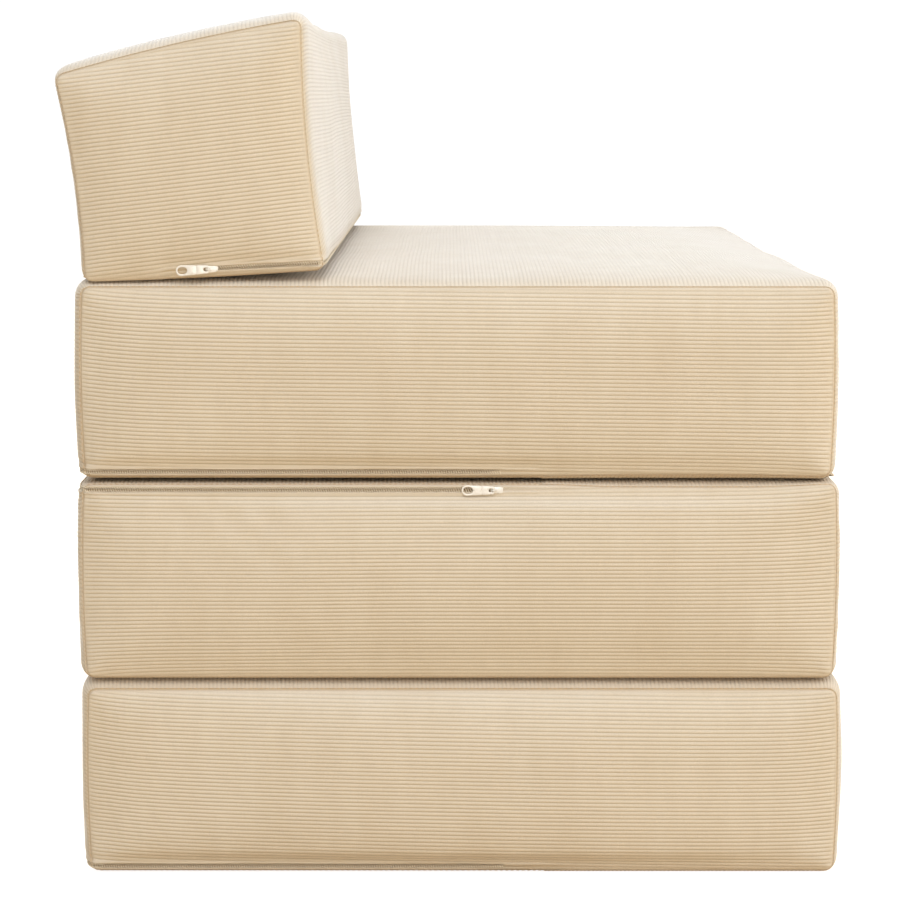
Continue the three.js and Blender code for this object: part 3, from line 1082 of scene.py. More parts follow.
    @staticmethod
    def part(points: Array, shade: Array, seam: Array, sheen_mask: Array, around: bool) -> Surface:
        """A grid as a surface with its values.

        Args:
            points: rows x columns x 3.
            shade: the wale's height, 0 in the ground and 1 on top.
            seam: how much painted shade it takes, in the creases, beside the resting sides and in the zip's slit.
            sheen_mask: the sheen mask, where the painted sheen and the shader's sheen apply.
            around: whether the columns close on themselves.

        Returns:
            The surface.
        """
        size = points.shape[:2]
        values = {"wale": shade, "seam": seam, "sheen_mask": sheen_mask}
        values = {name: np.broadcast_to(value, size).ravel() for name, value in values.items()}
        return Surface(points.reshape(-1, 3), grid_quads(*size, around), values=values)

    # Building

    def dressed(self, label: str, surface: Surface, slot: Slot, finish: Material) -> bpy.types.Object:
        """A piece of a surface in the cushion's frame, named after the cushion's body and riding on it."""
        surface.points = self.placement.place(surface.points)
        return new_piece(f"{self.body.value}_{label}", surface, finish, self.body.value)

    def build(self, finish: Material) -> Array:
        """Args:
            finish: the corduroy.

        Returns:
            The wrap's smooth grid, for the pieces that lie on it.
        """
        surface, wrap = self.cover()
        piece = self.dressed("corduroy_cover", surface, Slot.CORDUROY, finish)
        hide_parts(f"{self.body.value}_cover")
        return wrap


def linked(name: str, data: bpy.types.ID) -> bpy.types.Object:
    """Puts a new object into the scene.

    Args:
        name: its name.
        data: its mesh, lamp or camera.

    Returns:
        The object.
    """
    piece = bpy.data.objects.new(name, data)
    bpy.context.scene.collection.objects.link(piece)
    return piece


def new_piece(name: str, surface: Surface, finish: Material, body: str = "") -> bpy.types.Object:
    """Makes an object of a surface.

    Args:
        name: the piece's name.
        surface: its surface in the object's frame.
        finish: its material.
        body: the body that it rides on, left out for the hinge strips, which ride on none.

    Returns:
        The object.
    """
    piece = linked(name, surface.mesh(name))
    piece.data.materials.append(finish)
    if body:
        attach(piece, body)
    log.info("%s: %d points, %d faces", name, len(piece.data.vertices), len(piece.data.polygons))
    return piece


@dataclass
class Foam:
    """The block of foam in a cushion: its outline drawn in, carried from end to end with rounded edges."""

    cushion: Cushion
    inset: float = 11.0
    edge: float = 8.0
    columns: int = 96

    def build(self, finish: Material) -> None:
        """Makes the block and lets it stand for the frame's foam core.

        Args:
            finish: the foam.
        """
        turn = np.radians(np.linspace(0, 90, 6))
        ends = self.edge * (1 - np.sin(turn))
        half = EDGE_HALF - self.inset
        y = np.concatenate([-half + self.edge * (1 - np.cos(turn)), half - self.edge * (1 - np.cos(turn[::-1]))])
        inset = self.inset + np.concatenate([ends, ends[::-1]])
        u = np.arange(self.columns) * 4 / self.columns
        flat = self.cushion.outline.at(u, np.ones(len(y)), inset)
        block = lofted(np.stack([flat[..., 0], np.broadcast_to(y[:, None], flat.shape[:2]), flat[..., 1]], -1))
        piece = self.cushion.dressed("foam_block", block, Slot.FOAM, finish)
        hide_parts(f"{self.cushion.body.value}_foam_core")


# Stuffing


def between(values: Array, at: Array, axis: int, around: bool) -> Array:
    """A grid read between its points along one axis with a Catmull-Rom curve.

    Args:
        values: the grid.
        at: places along the axis, counted in points.
        axis: 0 or 1.
        around: whether the axis closes on itself.

    Returns:
        The grid with len(at) points along the axis.
    """
    values = np.moveaxis(values, axis, 0)
    count = len(values)
    first = np.floor(at).astype(int)
    t = (at - first).reshape(-1, *[1] * (values.ndim - 1))
    wanted = first[:, None] + np.arange(-1, 3)[None]
    wanted = wanted % count if around else np.clip(wanted, 0, count - 1)
    a, b, c, d = (values[wanted[:, i]] for i in range(4))
    curve = b + 0.5 * t * (c - a + t * (2 * a - 5 * b + 4 * c - d + t * (3 * (b - c) + d - a)))
    return np.moveaxis(curve, 0, axis)


@dataclass
class Stuffing:
    """What the foam's pressure does to a cushion's cloth, from a short cloth simulation on a coarse copy.

    The copy has the cover's three grids with wider cells. Its seams and resting sides are pinned. What
    the simulation moves each point by is read between the copy's points for the cover's own grids.

    Attributes:
        cell: width of the copy's cells.
        frames: frames that the simulation runs for.
        pressure: pressure inside.
        slack: how much smaller than the cover the copy starts.
        most: greatest move that is kept, to which larger ones are scaled.
    """

    cushion: Cushion
    cell: float = 15.0
    frames: int = 18
    pressure: float = 4.0
    slack: float = 1.2
    most: float = 5.0

    def __post_init__(self) -> None:
        cushion = self.cushion
        columns = round(cushion.girth / self.cell)
        self.u = cushion.outline.spaced(np.arange(columns), columns)
        half = round(EDGE_HALF / self.cell)
        self.past = np.concatenate([[7.0], np.linspace(16, EDGE_HALF, half)])
        self.wrap, self.distance = cushion.wrap_grid(self.u, self.past)
        _, _, levels = cushion.wale_levels()
        self.low, self.high = levels.min(), levels.max()
        rows = round((self.high - self.low) / self.cell) + 1
        self.level = np.linspace(self.low + 1.5, self.high - 1.5, rows)
        back, _, front, _ = cushion.extent
        self.shares = np.linspace(0, 1, round((front - back) / self.cell) + 1)
        self.panels = [cushion.panel_grid(self.level, self.shares, side)[0] for side in (-1, 1)]
        self.moves = [np.zeros(grid.shape) for grid in (self.wrap, *self.panels)]
        self.inflate()

    def inflate(self) -> None:
        """Runs the simulation and keeps each grid's moves."""
        cushion = self.cushion
        parts = [Surface(grid.reshape(-1, 3)) for grid in (self.wrap, *self.panels)]
        whole = cushion.sewn(parts, self.wrap.shape[:2], self.u, self.level, self.shares)
        start = whole.points.copy()
        normal = whole.point_normals()
        count = self.wrap.shape[1]
        pinned = np.zeros(len(start))
        pinned[:count] = pinned[len(parts[0].points) - count:len(parts[0].points)] = 1
        resting = np.tile(1 - cushion.free(self.u), self.wrap.shape[0])
        under = 1 - smooth(-15, 15, parts[0].points[:, 0] - cushion.covered)
        pinned[:len(resting)] = np.maximum(pinned[:len(resting)], np.maximum(resting, under))
        for number, grid in enumerate(self.panels):
            edge = np.zeros(grid.shape[:2])
            edge[[0, -1]] = edge[:, [0, -1]] = 1
            at = len(parts[0].points) + number * edge.size
            pinned[at:at + edge.size] = edge.ravel()
        whole.points = start - normal * self.slack * (1 - pinned)[:, None]
        moved = self.simulated(whole, pinned) - start
        out = (moved * normal).sum(1) * (1 - pinned)
        out *= self.most / max(self.most, float(np.percentile(np.abs(out), 99)))
        out = np.clip(out, -self.most, self.most)
        moved = normal * out[:, None]
        first = 0
        for number, grid in enumerate((self.wrap, *self.panels)):
            last = first + grid.shape[0] * grid.shape[1]
            self.moves[number] = moved[first:last].reshape(grid.shape)
            first = last
        log.info("%s stuffing: moves %.2f to %.2f mm", cushion.body.value, out.min(), out.max())

    def simulated(self, surface: Surface, pinned: Array) -> Array:
        """The points after the simulation.

        Args:
            surface: the closed copy.
            pinned: 1 where a point stays and 0 where it moves.

        Returns:
            N x 3 points in millimetres.
        """
        name = f"{self.cushion.body.value}_stuffing"
        piece = linked(name, surface.mesh(name))
        scene = bpy.context.scene
        group = piece.vertex_groups.new(name="seams")
        for weight in np.unique(pinned):
            group.add(np.flatnonzero(pinned == weight).tolist(), float(weight), "REPLACE")
        cloth = piece.modifiers.new("stuffing", "CLOTH")
        for label, value in {
            "quality": 4, "mass": 0.35, "air_damping": 3.0, "tension_stiffness": 60.0,
            "compression_stiffness": 60.0, "bending_stiffness": 0.4, "vertex_group_mass": "seams",
            "pin_stiffness": 1.0, "use_pressure": True, "uniform_pressure_force": self.pressure,
        }.items():
            setattr(cloth.settings, label, value)
        cloth.settings.effector_weights.gravity = 0.0
        cloth.collision_settings.use_self_collision = False
        cloth.point_cache.frame_start = 1
        cloth.point_cache.frame_end = self.frames
        for number in range(1, self.frames + 1):
            scene.frame_set(number)
        done = piece.evaluated_get(bpy.context.evaluated_depsgraph_get())
        points = np.empty(len(done.data.vertices) * 3, np.float32)
        done.data.vertices.foreach_get("co", points)
        mesh = piece.data
        bpy.data.objects.remove(piece)
        bpy.data.meshes.remove(mesh)
        scene.frame_set(1)
        return points.reshape(-1, 3).astype(float) / MM

    def on_wrap(self, places: Array, distance: Array) -> Array:
        """The moves at the cover's own stations and columns.

        Args:
            places: the columns' places as shares of the outline's length.
            distance: the stations' distances from their seam, down to the middle and back.

        Returns:
            stations x columns x 3 moves.
        """
        half = len(self.distance) // 2
        nearer = np.interp(distance, self.distance[:half + 1], np.arange(half + 1))
        beyond = np.arange(len(distance)) > len(distance) // 2
        stations = np.where(beyond, 2 * half - nearer, nearer)
        along = between(self.moves[0], stations, 0, False)
        return between(along, places * len(self.u), 1, True)

    def on_panel(self, level: Array, shares: Array, side: int) -> Array:
        """The moves at the cover's own rows.

        Args:
            level: the rows' levels.
            shares: places along the rows.
            side: -1 at the near end and 1 at the far end.

        Returns:
            rows x columns x 3 moves.
        """
        rows = np.interp(level, self.level, np.arange(len(self.level)))
        along = between(self.moves[1 if side < 0 else 2], rows, 0, False)
        return between(along, np.interp(shares, self.shares, np.arange(len(self.shares))), 1, False)


# Zips and seams


@dataclass
class Track:
    """A line on a cushion with the directions that stand on it, resampled at an even step.

    Attributes:
        points: N x 3 points.
        out: N x 3 unit directions out of the cloth.
    """

    points: Array
    out: Array

    @staticmethod
    def even(points: Array, out: Array, step: float, soften: float, closed: bool) -> Track:
        """A track at an even step, its corners rounded by a running mean.

        Args:
            points: points of the line.
            out: directions out of the cloth at them.
            step: spacing wanted.
            soften: length of the running mean.
            closed: whether the line closes on itself.

        Returns:
            The track.
        """
        if closed:
            points, out = np.vstack([points, points[:1]]), np.vstack([out, out[:1]])
        total = length_along(points)
        count = max(2, round(total[-1] / step))
        at = np.linspace(0, total[-1], count + (0 if closed else 1), endpoint=not closed)
        both = np.stack([np.interp(at, total, column) for column in np.hstack([points, out]).T], -1)
        window = int(soften / step) | 1
        if window > 2:
            pad = window // 2
            ends = (both[-pad:], both[:pad]) if closed else (
                2 * both[:1] - both[pad:0:-1], 2 * both[-1:] - both[-2:-pad - 2:-1])
            longer = np.vstack([ends[0], both, ends[1]])
            kernel = np.hanning(window + 2)[1:-1]
            kernel /= kernel.sum()
            both = np.stack([np.convolve(column, kernel, "valid") for column in longer.T], -1)
        return Track(both[:, :3], to_unit(both[:, 3:]))

    def axes(self, closed: bool = False) -> tuple[Array, Array, Array]:
        """Unit directions at the track's points.

        Args:
            closed: whether the line closes on itself.

        Returns:
            Along the track, across it and out of the cloth, each N x 3.
        """
        if closed:
            along = np.roll(self.points, -1, 0) - np.roll(self.points, 1, 0)
        else:
            along = np.gradient(self.points, axis=0)
        along = to_unit(along)
        across = to_unit(np.cross(self.out, along))
        return along, across, np.cross(along, across)


def carried(track: Track, profile: Array) -> Surface:
    """A closed profile carried along a track: point = track point + across x a + out x b.

    Args:
        track: the line.
        profile: P x 2 loop of (across, out) places.

    Returns:
        The closed surface.
    """
    _, across, out = track.axes()
    points = track.points[:, None] + across[:, None] * profile[None, :, :1] + out[:, None] * profile[None, :, 1:]
    return lofted(points)


@dataclass
class Zip:
    """The tape and the two coils of a zip, laid in the groove of a cushion's cover.

    The coils are helices: point = track + across x (gap + r + r cos t) + out x (q sin t - depth).
    """

    cushion: Cushion
    tape_half: float = 2.4
    tape_depth: float = 1.35
    tape_thickness: float = 0.4
    coil_pitch: float = 1.9
    coil_half: float = 0.92
    coil_rise: float = 0.42
    coil_depth: float = 0.5
    wire: float = 0.33
    samples: int = 8

    def track(self, wrap: Array, step: float) -> Track:
        """The zip's line round the cushion: along the near end panel, over the wrap and along the far one.

        Args:
            wrap: the wrap's smooth grid.
            step: spacing of the track's points.

        Returns:
            The track on the cloth's face.
        """
        line = self.cushion.zip
        pieces, outs = [], []
        _, loop = self.cushion.crease_loop(3200)
        level = loop[np.abs(loop[:, 1] - line.height) < 1.0]
        stop = level[:, 0].max() if line.toward > 0 else level[:, 0].min()
        x = np.linspace(line.end, stop, 160)
        for side in (-1, 1):
            run, above, below = (
                self.cushion.face(x, np.full(x.shape, line.height + step), side)[0] for step in (0.0, 1.5, -1.5)
            )
            slope = (above - below)[:, 1] / 3
            out = np.stack([0 * slope, np.full(len(run), float(side)), -side * slope], -1)
            pieces.append(run if side < 0 else run[::-1])
            outs.append(out if side < 0 else out[::-1])
        columns = np.arange(wrap.shape[1])
        middle = wrap[len(wrap) // 2]
        on_side = middle[:, 0] * line.toward > line.toward * middle[:, 0].mean()
        best = columns[on_side][np.argmin(np.abs(middle[on_side, 2] - line.height))]
        over = wrap[1:-1, best].copy()
        over[:, 2] = line.height
        outward = np.tile([float(line.toward), 0.0, 0.0], (len(over), 1))
        points = np.vstack([pieces[0], over, pieces[1]])
        return Track.even(points, np.vstack([outs[0], outward, outs[1]]), step, 9.0, False)

    def build(self, wrap: Array, tape: Material, coil: Material) -> None:
        """Makes the tape and the coils.

        Args:
            wrap: the wrap's smooth grid.
            tape: the tape's finish, dark as painted shade between the coil's loops.
            coil: the coils' finish.
        """
        name = self.cushion.body.value
        line = self.track(wrap, 2.0)
        half, top = self.tape_half, -self.tape_depth + self.tape_thickness / 2
        low = -self.tape_depth - self.tape_thickness / 2
        across = np.array([-1, 1, 1, 0.5, 0, -0.5, -1]) * half
        profile = np.column_stack([across, np.where(np.arange(len(across)) < 2, low, top)])
        self.cushion.dressed("zip_tape", carried(line, profile), Slot.ZIP_TAPE, tape)
        fine = self.track(wrap, self.coil_pitch / self.samples)
        turn = np.arange(len(fine.points)) * 2 * pi / self.samples
        _, across, out = fine.axes()
        coils = []
        for side in (-1, 1):
            path = (
                fine.points
                + across * (side * (self.wire / 2 + self.coil_half * (1 + np.cos(turn))))[:, None]
                + out * (self.coil_rise * np.sin(turn) - self.coil_depth)[:, None]
            )
            coils.append(tube(path, self.wire, 5))
        piece = self.cushion.dressed("zip_coils", Surface.joined(coils), Slot.ZIP_TAPE, coil)
        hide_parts(f"{name}_zip_upper_stringer", f"{name}_zip_lower_stringer")


@dataclass
class SeamThread:
    """The stitches that show in the creases of both end seams, one small capsule each."""

    cushion: Cushion
    pitch: float = 4.4
    length: float = 2.9
    radius: float = 0.26
    sides: int = 6

    def stitch(self) -> Surface:
        """One stitch along its own x: a circle whose radius follows a half ellipse.

        Returns:
            The stitch.
        """
        t = np.linspace(-0.96, 0.96, 5)
        path = np.stack([t * self.length / 2, np.zeros(5), np.zeros(5)], -1)
        return tube(path, self.radius * np.sqrt(1 - t ** 2) + 0.02, self.sides)

    def build(self, wrap: Array, finish: Material) -> None:
        """Lays the stitches along the wrap's first and last ring.

        Args:
            wrap: the wrap's smooth grid.
            finish: the thread.
        """
        unit = self.stitch()
        parts = []
        for ring, end in ((0, -1.0), (-1, 1.0)):
            points = wrap[ring]
            away = points - points.mean(0)
            away[:, 1] = 0
            out = np.array([0.0, end, 0.0]) + to_unit(away)
            track = Track.even(points, out, self.pitch, 0, True)
            along, across, up = track.axes(closed=True)
            axes = np.stack([along, across, up], 1)
            parts.append(repeated(unit, track.points + up * 0.3, axes))
        self.cushion.dressed("seam_thread", Surface.joined(parts).facing_out(), Slot.HINGE_CLOTH, finish)


# Slider and puller


def bevelled_plate(rim: Array, low: float, high: float, bevel: float) -> Surface:
    """A plate with rounded edges: the rim drawn towards its middle at both faces, with a fan on each face.

    Args:
        rim: N x 2 outline, anticlockwise.
        low: height of the lower face.
        high: height of the upper face.
        bevel: radius of the rounded edge.

    Returns:
        The closed surface.
    """
    along = np.roll(rim, -1, 0) - np.roll(rim, 1, 0)
    out = to_unit(np.stack([along[:, 1], -along[:, 0]], 1))
    angle = np.radians([90, 60, 30, 0])
    inset = bevel * (1 - np.cos(angle))
    lift = bevel * (1 - np.sin(angle))
    rings = [(low + l, i) for l, i in zip(lift, inset)] + [(high - l, i) for l, i in zip(lift[::-1], inset[::-1])]
    return lofted(np.stack([np.column_stack([rim - out * i, np.full(len(rim), z)]) for z, i in rings]))


def holed_plate(rim: Array, hole: Array, half: float, bevel: Array) -> Surface:
    """A flat ring with rounded edges: its section, from hole to rim, carried round the hole.

    Args:
        rim: N x 2 outer outline.
        hole: N x 2 outline of the hole, point for point with the rim.
        half: half the thickness.
        bevel: radius of the rim's rounded edge at each point.

    Returns:
        The closed surface.
    """
    reach = np.linalg.norm(rim - hole, axis=1, keepdims=True)
    ahead = (rim - hole) / reach
    own = np.minimum(0.35, reach[:, 0] * 0.3)
    outer = np.minimum(bevel, reach[:, 0] * 0.45)
    steps = np.radians([0, 30, 60, 90])
    rows = []
    for edge, inwards, radius, sign, turns in (
        (hole, ahead, own, 1, steps),
        (rim, -ahead, outer, 1, steps[::-1]),
        (rim, -ahead, outer, -1, steps),
        (hole, ahead, own, -1, steps[::-1]),
    ):
        for angle in turns:
            at = edge + inwards * (radius * (1 - cos(angle)))[:, None]
            rows.append(np.column_stack([at, sign * (half - radius * (1 - sin(angle)))]))
    return lofted(np.stack(rows), closed=True)


@dataclass
class Slider:
    """A zip slider: two bevelled plates, the bridge between them and the bail, all cream metal."""

    cushion: Cushion
    length: float = 10.0
    nose_width: float = 5.8
    tail_width: float = 4.8
    plate: float = 1.2
    gap: float = 0.3
    coil_inner: float = 1.9
    bail_offset: float = 2.4
    bail_radius: float = 1.75
    bail_wire: float = 0.55
    points: int = 48

    @property
    def axis_height(self) -> float:
        """Height of the puller's axis over the cloth's face."""
        return self.gap + self.plate + self.gap + 0.6

    def rim(self) -> Array:
        """The plate's outline: a superellipse whose width tapers to the tail.

        Returns:
            N x 2 points.
        """
        t = angles(self.points)
        x = np.sign(np.cos(t)) * np.abs(np.cos(t)) ** 0.55 * self.length / 2
        half = np.interp(x, [-self.length / 2, self.length / 2], [self.tail_width / 2, self.nose_width / 2])
        return np.column_stack([x, np.sign(np.sin(t)) * np.abs(np.sin(t)) ** 0.6 * half])

    def surface(self) -> Surface:
        """The plates, the bridge and the bail, which is an arc of wire that the puller turns on.

        Returns:
            The slider in its own frame, its nose at +X and the cloth's face at height 0.
        """
        top = bevelled_plate(self.rim(), self.gap, self.gap + self.plate, 0.5)
        low = -self.coil_inner - self.gap - self.plate
        bottom = bevelled_plate(self.rim(), low, low + self.plate, 0.4)
        ring = angles(24)
        post = np.column_stack([self.length / 2 - 1.9 + 1.3 * np.cos(ring), 0.25 * np.sin(ring)])
        bridge = bevelled_plate(post, low + self.plate - 0.2, self.gap + 0.2, 0.1)
        arc = np.linspace(-0.12 * pi, 1.12 * pi, 25)
        line = self.cushion.zip
        path = np.column_stack([
            self.bail_radius * np.cos(arc) - line.puller_toward * line.toward * self.bail_offset,
            np.zeros(25),
            self.axis_height + self.bail_radius * np.sin(arc),
        ])
        bail = tube(path, self.bail_wire, 10)
        return Surface.joined([top, bottom, bridge, bail])

    def build(self, finish: Material) -> None:
        """Makes the slider at the closed zip's end and lets it ride on its own body.

        Args:
            finish: the metal.
        """
        name = self.cushion.body.value
        surface = self.surface()
        line = self.cushion.zip
        surface.points = zip_frame(self.cushion, surface.points, -line.toward, self.length / 2, 0.0)
        piece = new_piece(f"{name}_slider_metal", surface, finish, f"{name}_slider")
        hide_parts(f"{name}_zip_slider")


def zip_frame(cushion: Cushion, points: Array, toward: int, offset: float, height: float) -> Array:
    """Points of a frame on the end panel at the zip's end, in the object's frame.

    Args:
        cushion: the cushion that the zip belongs to.
        points: N x 3, with +X along the zip and +Z out of the cloth.
        toward: 1 or -1, the cushion's X direction that +X stands for.
        offset: distance from the zip's end to the frame's origin, into the zip.
        height: how far the origin stands out of the cloth's face.

    Returns:
        N x 3 points.
    """
    line = cushion.zip
    out = np.array([0.0, line.side, 0.0])
    along = np.array([float(toward), 0.0, 0.0])
    across = np.cross(out, along)
    origin = np.array([line.end + line.toward * offset, line.side * SEAM_HALF, line.height]) + out * height
    return cushion.placement.place(origin + points @ np.stack([along, across, out]))


@dataclass
class Puller:
    """A flat drop-shaped pull: a round thumb hole at its free end and a small hole round the bail."""

    cushion: Cushion
    slider: Slider
    length: float = 26.0
    width: float = 8.4
    neck: float = 6.2
    thickness: float = 1.2
    start: float = -0.55
    split: float = 9.5
    bail_hole: Triple = (2.25, 1.7, 1.4)
    thumb_hole: Triple = (20.45, 3.7, 2.7)
    points: int = 64
    probes: int = 2600

    def half_width(self, x: Array) -> Array:
        """Half the pull's width: a straight taper, with a round free end and rounded corners.

        Args:
            x: places along the pull.

        Returns:
            Half its width there.
        """
        start, end, tip = self.start, self.start + self.length, self.width / 2
        share = np.clip((x - start) / (end - tip - start), 0, 1)
        body = self.neck / 2 + (self.width - self.neck) / 2 * share
        corner = 1.6
        near = corner * (1 - np.sqrt(1 - ((start + corner - x) / corner).clip(0, 1) ** 2))
        far = np.sqrt(np.clip(1 - ((x - end + tip) / tip).clip(0, 1) ** 2, 0, 1))
        return (body - near) * far

    def ring(self, low: float, high: float, hole: Triple) -> Surface:
        """The part of the pull between two places along it, round one hole.

        Args:
            low: where it starts along the pull.
            high: where it ends.
            hole: the hole's centre and its two radii.

        Returns:
            The closed surface.
        """
        centre, along, across = hole
        angle = angles(self.points)
        ray = np.stack([np.cos(angle), np.sin(angle)], 1)
        far = np.linspace(0, self.length, self.probes)
        x = centre + ray[:, :1] * far[None]
        y = ray[:, 1:] * far[None]
        inside = (x > low) & (x < high) & (np.abs(y) < self.half_width(x))
        reach = far[np.argmin(inside, 1)]
        rim = np.array([centre, 0.0]) + ray * reach[:, None]
        round_off = (np.abs(ray) ** 2.4).sum(1, keepdims=True) ** (-1 / 2.4)
        inner = np.array([centre, 0.0]) + ray * round_off * np.array([along, across])
        joint = np.abs(rim[:, 0] - self.split) < 0.35
        return holed_plate(rim, inner, self.thickness / 2, np.where(joint, 0.02, 0.45))

    def build(self, finish: Material) -> None:
        """Makes the pull and lets it ride on its own body.

        Args:
            finish: the metal.
        """
        surface = Surface.joined([
            self.ring(self.start, self.split, self.bail_hole),
            self.ring(self.split, self.start + self.length, self.thumb_hole),
        ])
        name = self.cushion.body.value
        line = self.cushion.zip
        surface.points = zip_frame(
            self.cushion, surface.points, line.puller_toward,
            self.slider.length / 2 + line.toward * line.puller_toward * self.slider.bail_offset,
            self.slider.axis_height,
        )
        piece = new_piece(f"{name}_puller_metal", surface, finish, f"{name}_puller")
        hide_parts(f"{name}_zip_puller")


# Hinges


@dataclass
class HingeStrip:
    """A strip of cloth sewn to two cushions' edges: a hairpin section at rest, carried along Y.

    It is given the bodies below and above the fold line, but rides on neither.

    Attributes:
        nodes: the frame's two leaves that it stands for.
        inward: 1 or -1, the X direction from the fold line into the stack.
        root: how far from the fold line its ends are sewn.
        gap: half the gap between its two layers.
        tuck: how far its fold stays inside the fold line.
        end_margin: how far it stops short of the cushions' ends.
    """

    name: str
    lower: Body
    upper: Body
    nodes: tuple[str, str]
    fold_x: float
    fold_z: float
    inward: int
    root: float
    gap: float = 0.15
    thickness: float = 0.8
    tuck: float = 4.4
    end_margin: float = 40.0
    stations: int = 181

    def section(self) -> Array:
        """The hairpin: out along the lower leaf, round the fold and back along the upper one, then inside it.

        Returns:
            P x 2 loop (x, z).
        """
        outer, inner = self.gap + self.thickness, self.gap
        run = np.linspace(self.root, self.tuck, 9)
        turn = np.linspace(pi / 2, -pi / 2, 9)[1:-1]
        lower = [(x, -outer) for x in run]
        nose = [(self.tuck - outer * cos(t), -outer * sin(t)) for t in turn]
        upper = [(x, outer) for x in run[::-1]]
        back = [(x, inner) for x in run]
        inner_nose = [(self.tuck - inner * cos(t), inner * sin(t)) for t in turn]
        back_lower = [(x, -inner) for x in run[::-1]]
        loop = np.array(lower + nose + upper + back + inner_nose + back_lower)
        return np.column_stack([self.fold_x + self.inward * loop[:, 0], self.fold_z + loop[:, 1]])

    def build(self, finish: Material) -> None:
        """Makes the strip in the object's frame, riding on no body.

        Args:
            finish: the cloth.
        """
        half = BED_WIDTH / 2 - self.end_margin
        y = np.linspace(-half, half, self.stations)
        section = self.section()
        strip = lofted(np.stack(np.broadcast_arrays(section[None, :, 0], y[:, None], section[None, :, 1]), -1))
        piece = new_piece(self.name, strip, finish)
        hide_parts(*self.nodes)
        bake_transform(piece)


# Finishes


class Graph:
    """A node tree with short ways to add and link its nodes."""

    def __init__(self, tree: bpy.types.NodeTree) -> None:
        """Takes the tree to build in."""
        self.tree = tree

    def node(self, kind: str, **settings: object) -> bpy.types.Node:
        """Adds a node.

        Args:
            kind: its type.
            settings: values of its own properties.

        Returns:
            The node.
        """
        node = self.tree.nodes.new(kind)
        for name, value in settings.items():
            setattr(node, name, value)
        return node

    def put(self, socket: Socket, value: object) -> None:
        """Links an output to a socket, or sets the socket's own value.

        Args:
            socket: the input.
            value: an output or a constant.
        """
        if isinstance(value, bpy.types.NodeSocket):
            self.tree.links.new(value, socket)
        else:
            socket.default_value = value

    def fill(self, node: bpy.types.Node, *first: object, **named: object) -> Socket:
        """Links or sets a node's inputs.

        Args:
            node: the node.
            first: values of its first inputs, in order.
            named: values of inputs by name, with _ for a space.

        Returns:
            Its first output.
        """
        for socket, value in zip(node.inputs, first):
            self.put(socket, value)
        for name, value in named.items():
            self.put(node.inputs[name.replace("_", " ")], value)
        return node.outputs[0]

    def math(self, operation: str, a: object, b: object = 0.0, clamp: bool = False) -> Socket:
        """One arithmetic node."""
        return self.fill(self.node("ShaderNodeMath", operation=operation, use_clamp=clamp), a, b)

    def mix(self, factor: object, a: object, b: object, blend: str = "MIX") -> Socket:
        """One colour mix.

        Args:
            factor: share of the second colour.
            a: the first colour.
            b: the second colour.
            blend: how they are mixed.

        Returns:
            The colour.
        """
        node = self.node("ShaderNodeMix", data_type="RGBA", blend_type=blend)
        self.put(node.inputs["Factor"], factor)
        self.put(node.inputs[6], a)
        self.put(node.inputs[7], b)
        return node.outputs[2]

    def stretch(self, vector: object, scale: Triple) -> Socket:
        """A vector scaled by a mapping."""
        return self.fill(self.node("ShaderNodeMapping"), Vector=vector, Scale=scale)

    def noise(self, vector: object, scale: object, detail: float = 2.0, rough: float = 0.5) -> Socket:
        """A noise texture's value."""
        node = self.node("ShaderNodeTexNoise")
        return self.fill(node, Vector=vector, Scale=scale, Detail=detail, Roughness=rough)

    def span(self, value: object, low: float, high: float, to_low: float, to_high: float) -> Socket:
        """A value moved from one range to another, clamped."""
        return self.fill(self.node("ShaderNodeMapRange", clamp=True), value, low, high, to_low, to_high)

    def grey(self, value: object) -> Socket:
        """A grey of a value, for multiplying colours."""
        return self.fill(self.node("ShaderNodeCombineColor"), value, value, value)

    def bump(self, **values: object) -> Socket:
        """A bump node's normal."""
        return self.fill(self.node("ShaderNodeBump"), **values)

    def attribute(self, name: str) -> Socket:
        """A point attribute's value."""
        return self.node("ShaderNodeAttribute", attribute_name=name).outputs["Fac"]

    def place(self) -> Socket:
        """Object coordinates."""
        return self.node("ShaderNodeTexCoord").outputs["Object"]


def new_group(
    name: str, inputs: dict[str, float], outputs: dict[str, str]
) -> tuple[bpy.types.NodeTree, Graph, bpy.types.NodeOutputs, bpy.types.NodeInputs]:
    """A shader node group with a Vector input and named numbers beside it.

    Args:
        name: the group's name.
        inputs: default for each number.
        outputs: socket type for each output name.

    Returns:
        The group, its graph, what its input node gives and what its output node takes.
    """
    group = bpy.data.node_groups.new(name, "ShaderNodeTree")
    group.interface.new_socket("Vector", in_out="INPUT", socket_type="NodeSocketVector")
    for label, default in inputs.items():
        group.interface.new_socket(label, in_out="INPUT", socket_type="NodeSocketFloat").default_value = default
    for label, kind in outputs.items():
        group.interface.new_socket(label, in_out="OUTPUT", socket_type=kind)
    source = group.nodes.new("NodeGroupInput").outputs
    return group, Graph(group), source, group.nodes.new("NodeGroupOutput").inputs


def nap_clouds() -> bpy.types.NodeTree:
    """Cloudy patches where the pile lies another way: two stretched noises, averaged, as a multiplier.

    Returns:
        The group.
    """
    group, graph, source, sink = new_group(
        "nap_clouds", {"Patch": 9.0, "Streak": 34.0, "Strength": 0.06}, {"Shade": "NodeSocketFloat"}
    )
    broad = graph.noise(graph.stretch(source["Vector"], (1.0, 1.0, 0.45)), source["Patch"], 3.0, 0.55)
    narrow = graph.noise(graph.stretch(source["Vector"], (1.0, 1.0, 0.22)), source["Streak"], 3.0, 0.6)
    both = graph.math("ADD", broad, narrow)
    centred = graph.math("MULTIPLY", graph.math("SUBTRACT", both, 1.0), source["Strength"])
    graph.put(sink["Shade"], graph.math("ADD", graph.math("MULTIPLY", centred, 2.0), 1.0))
    return group


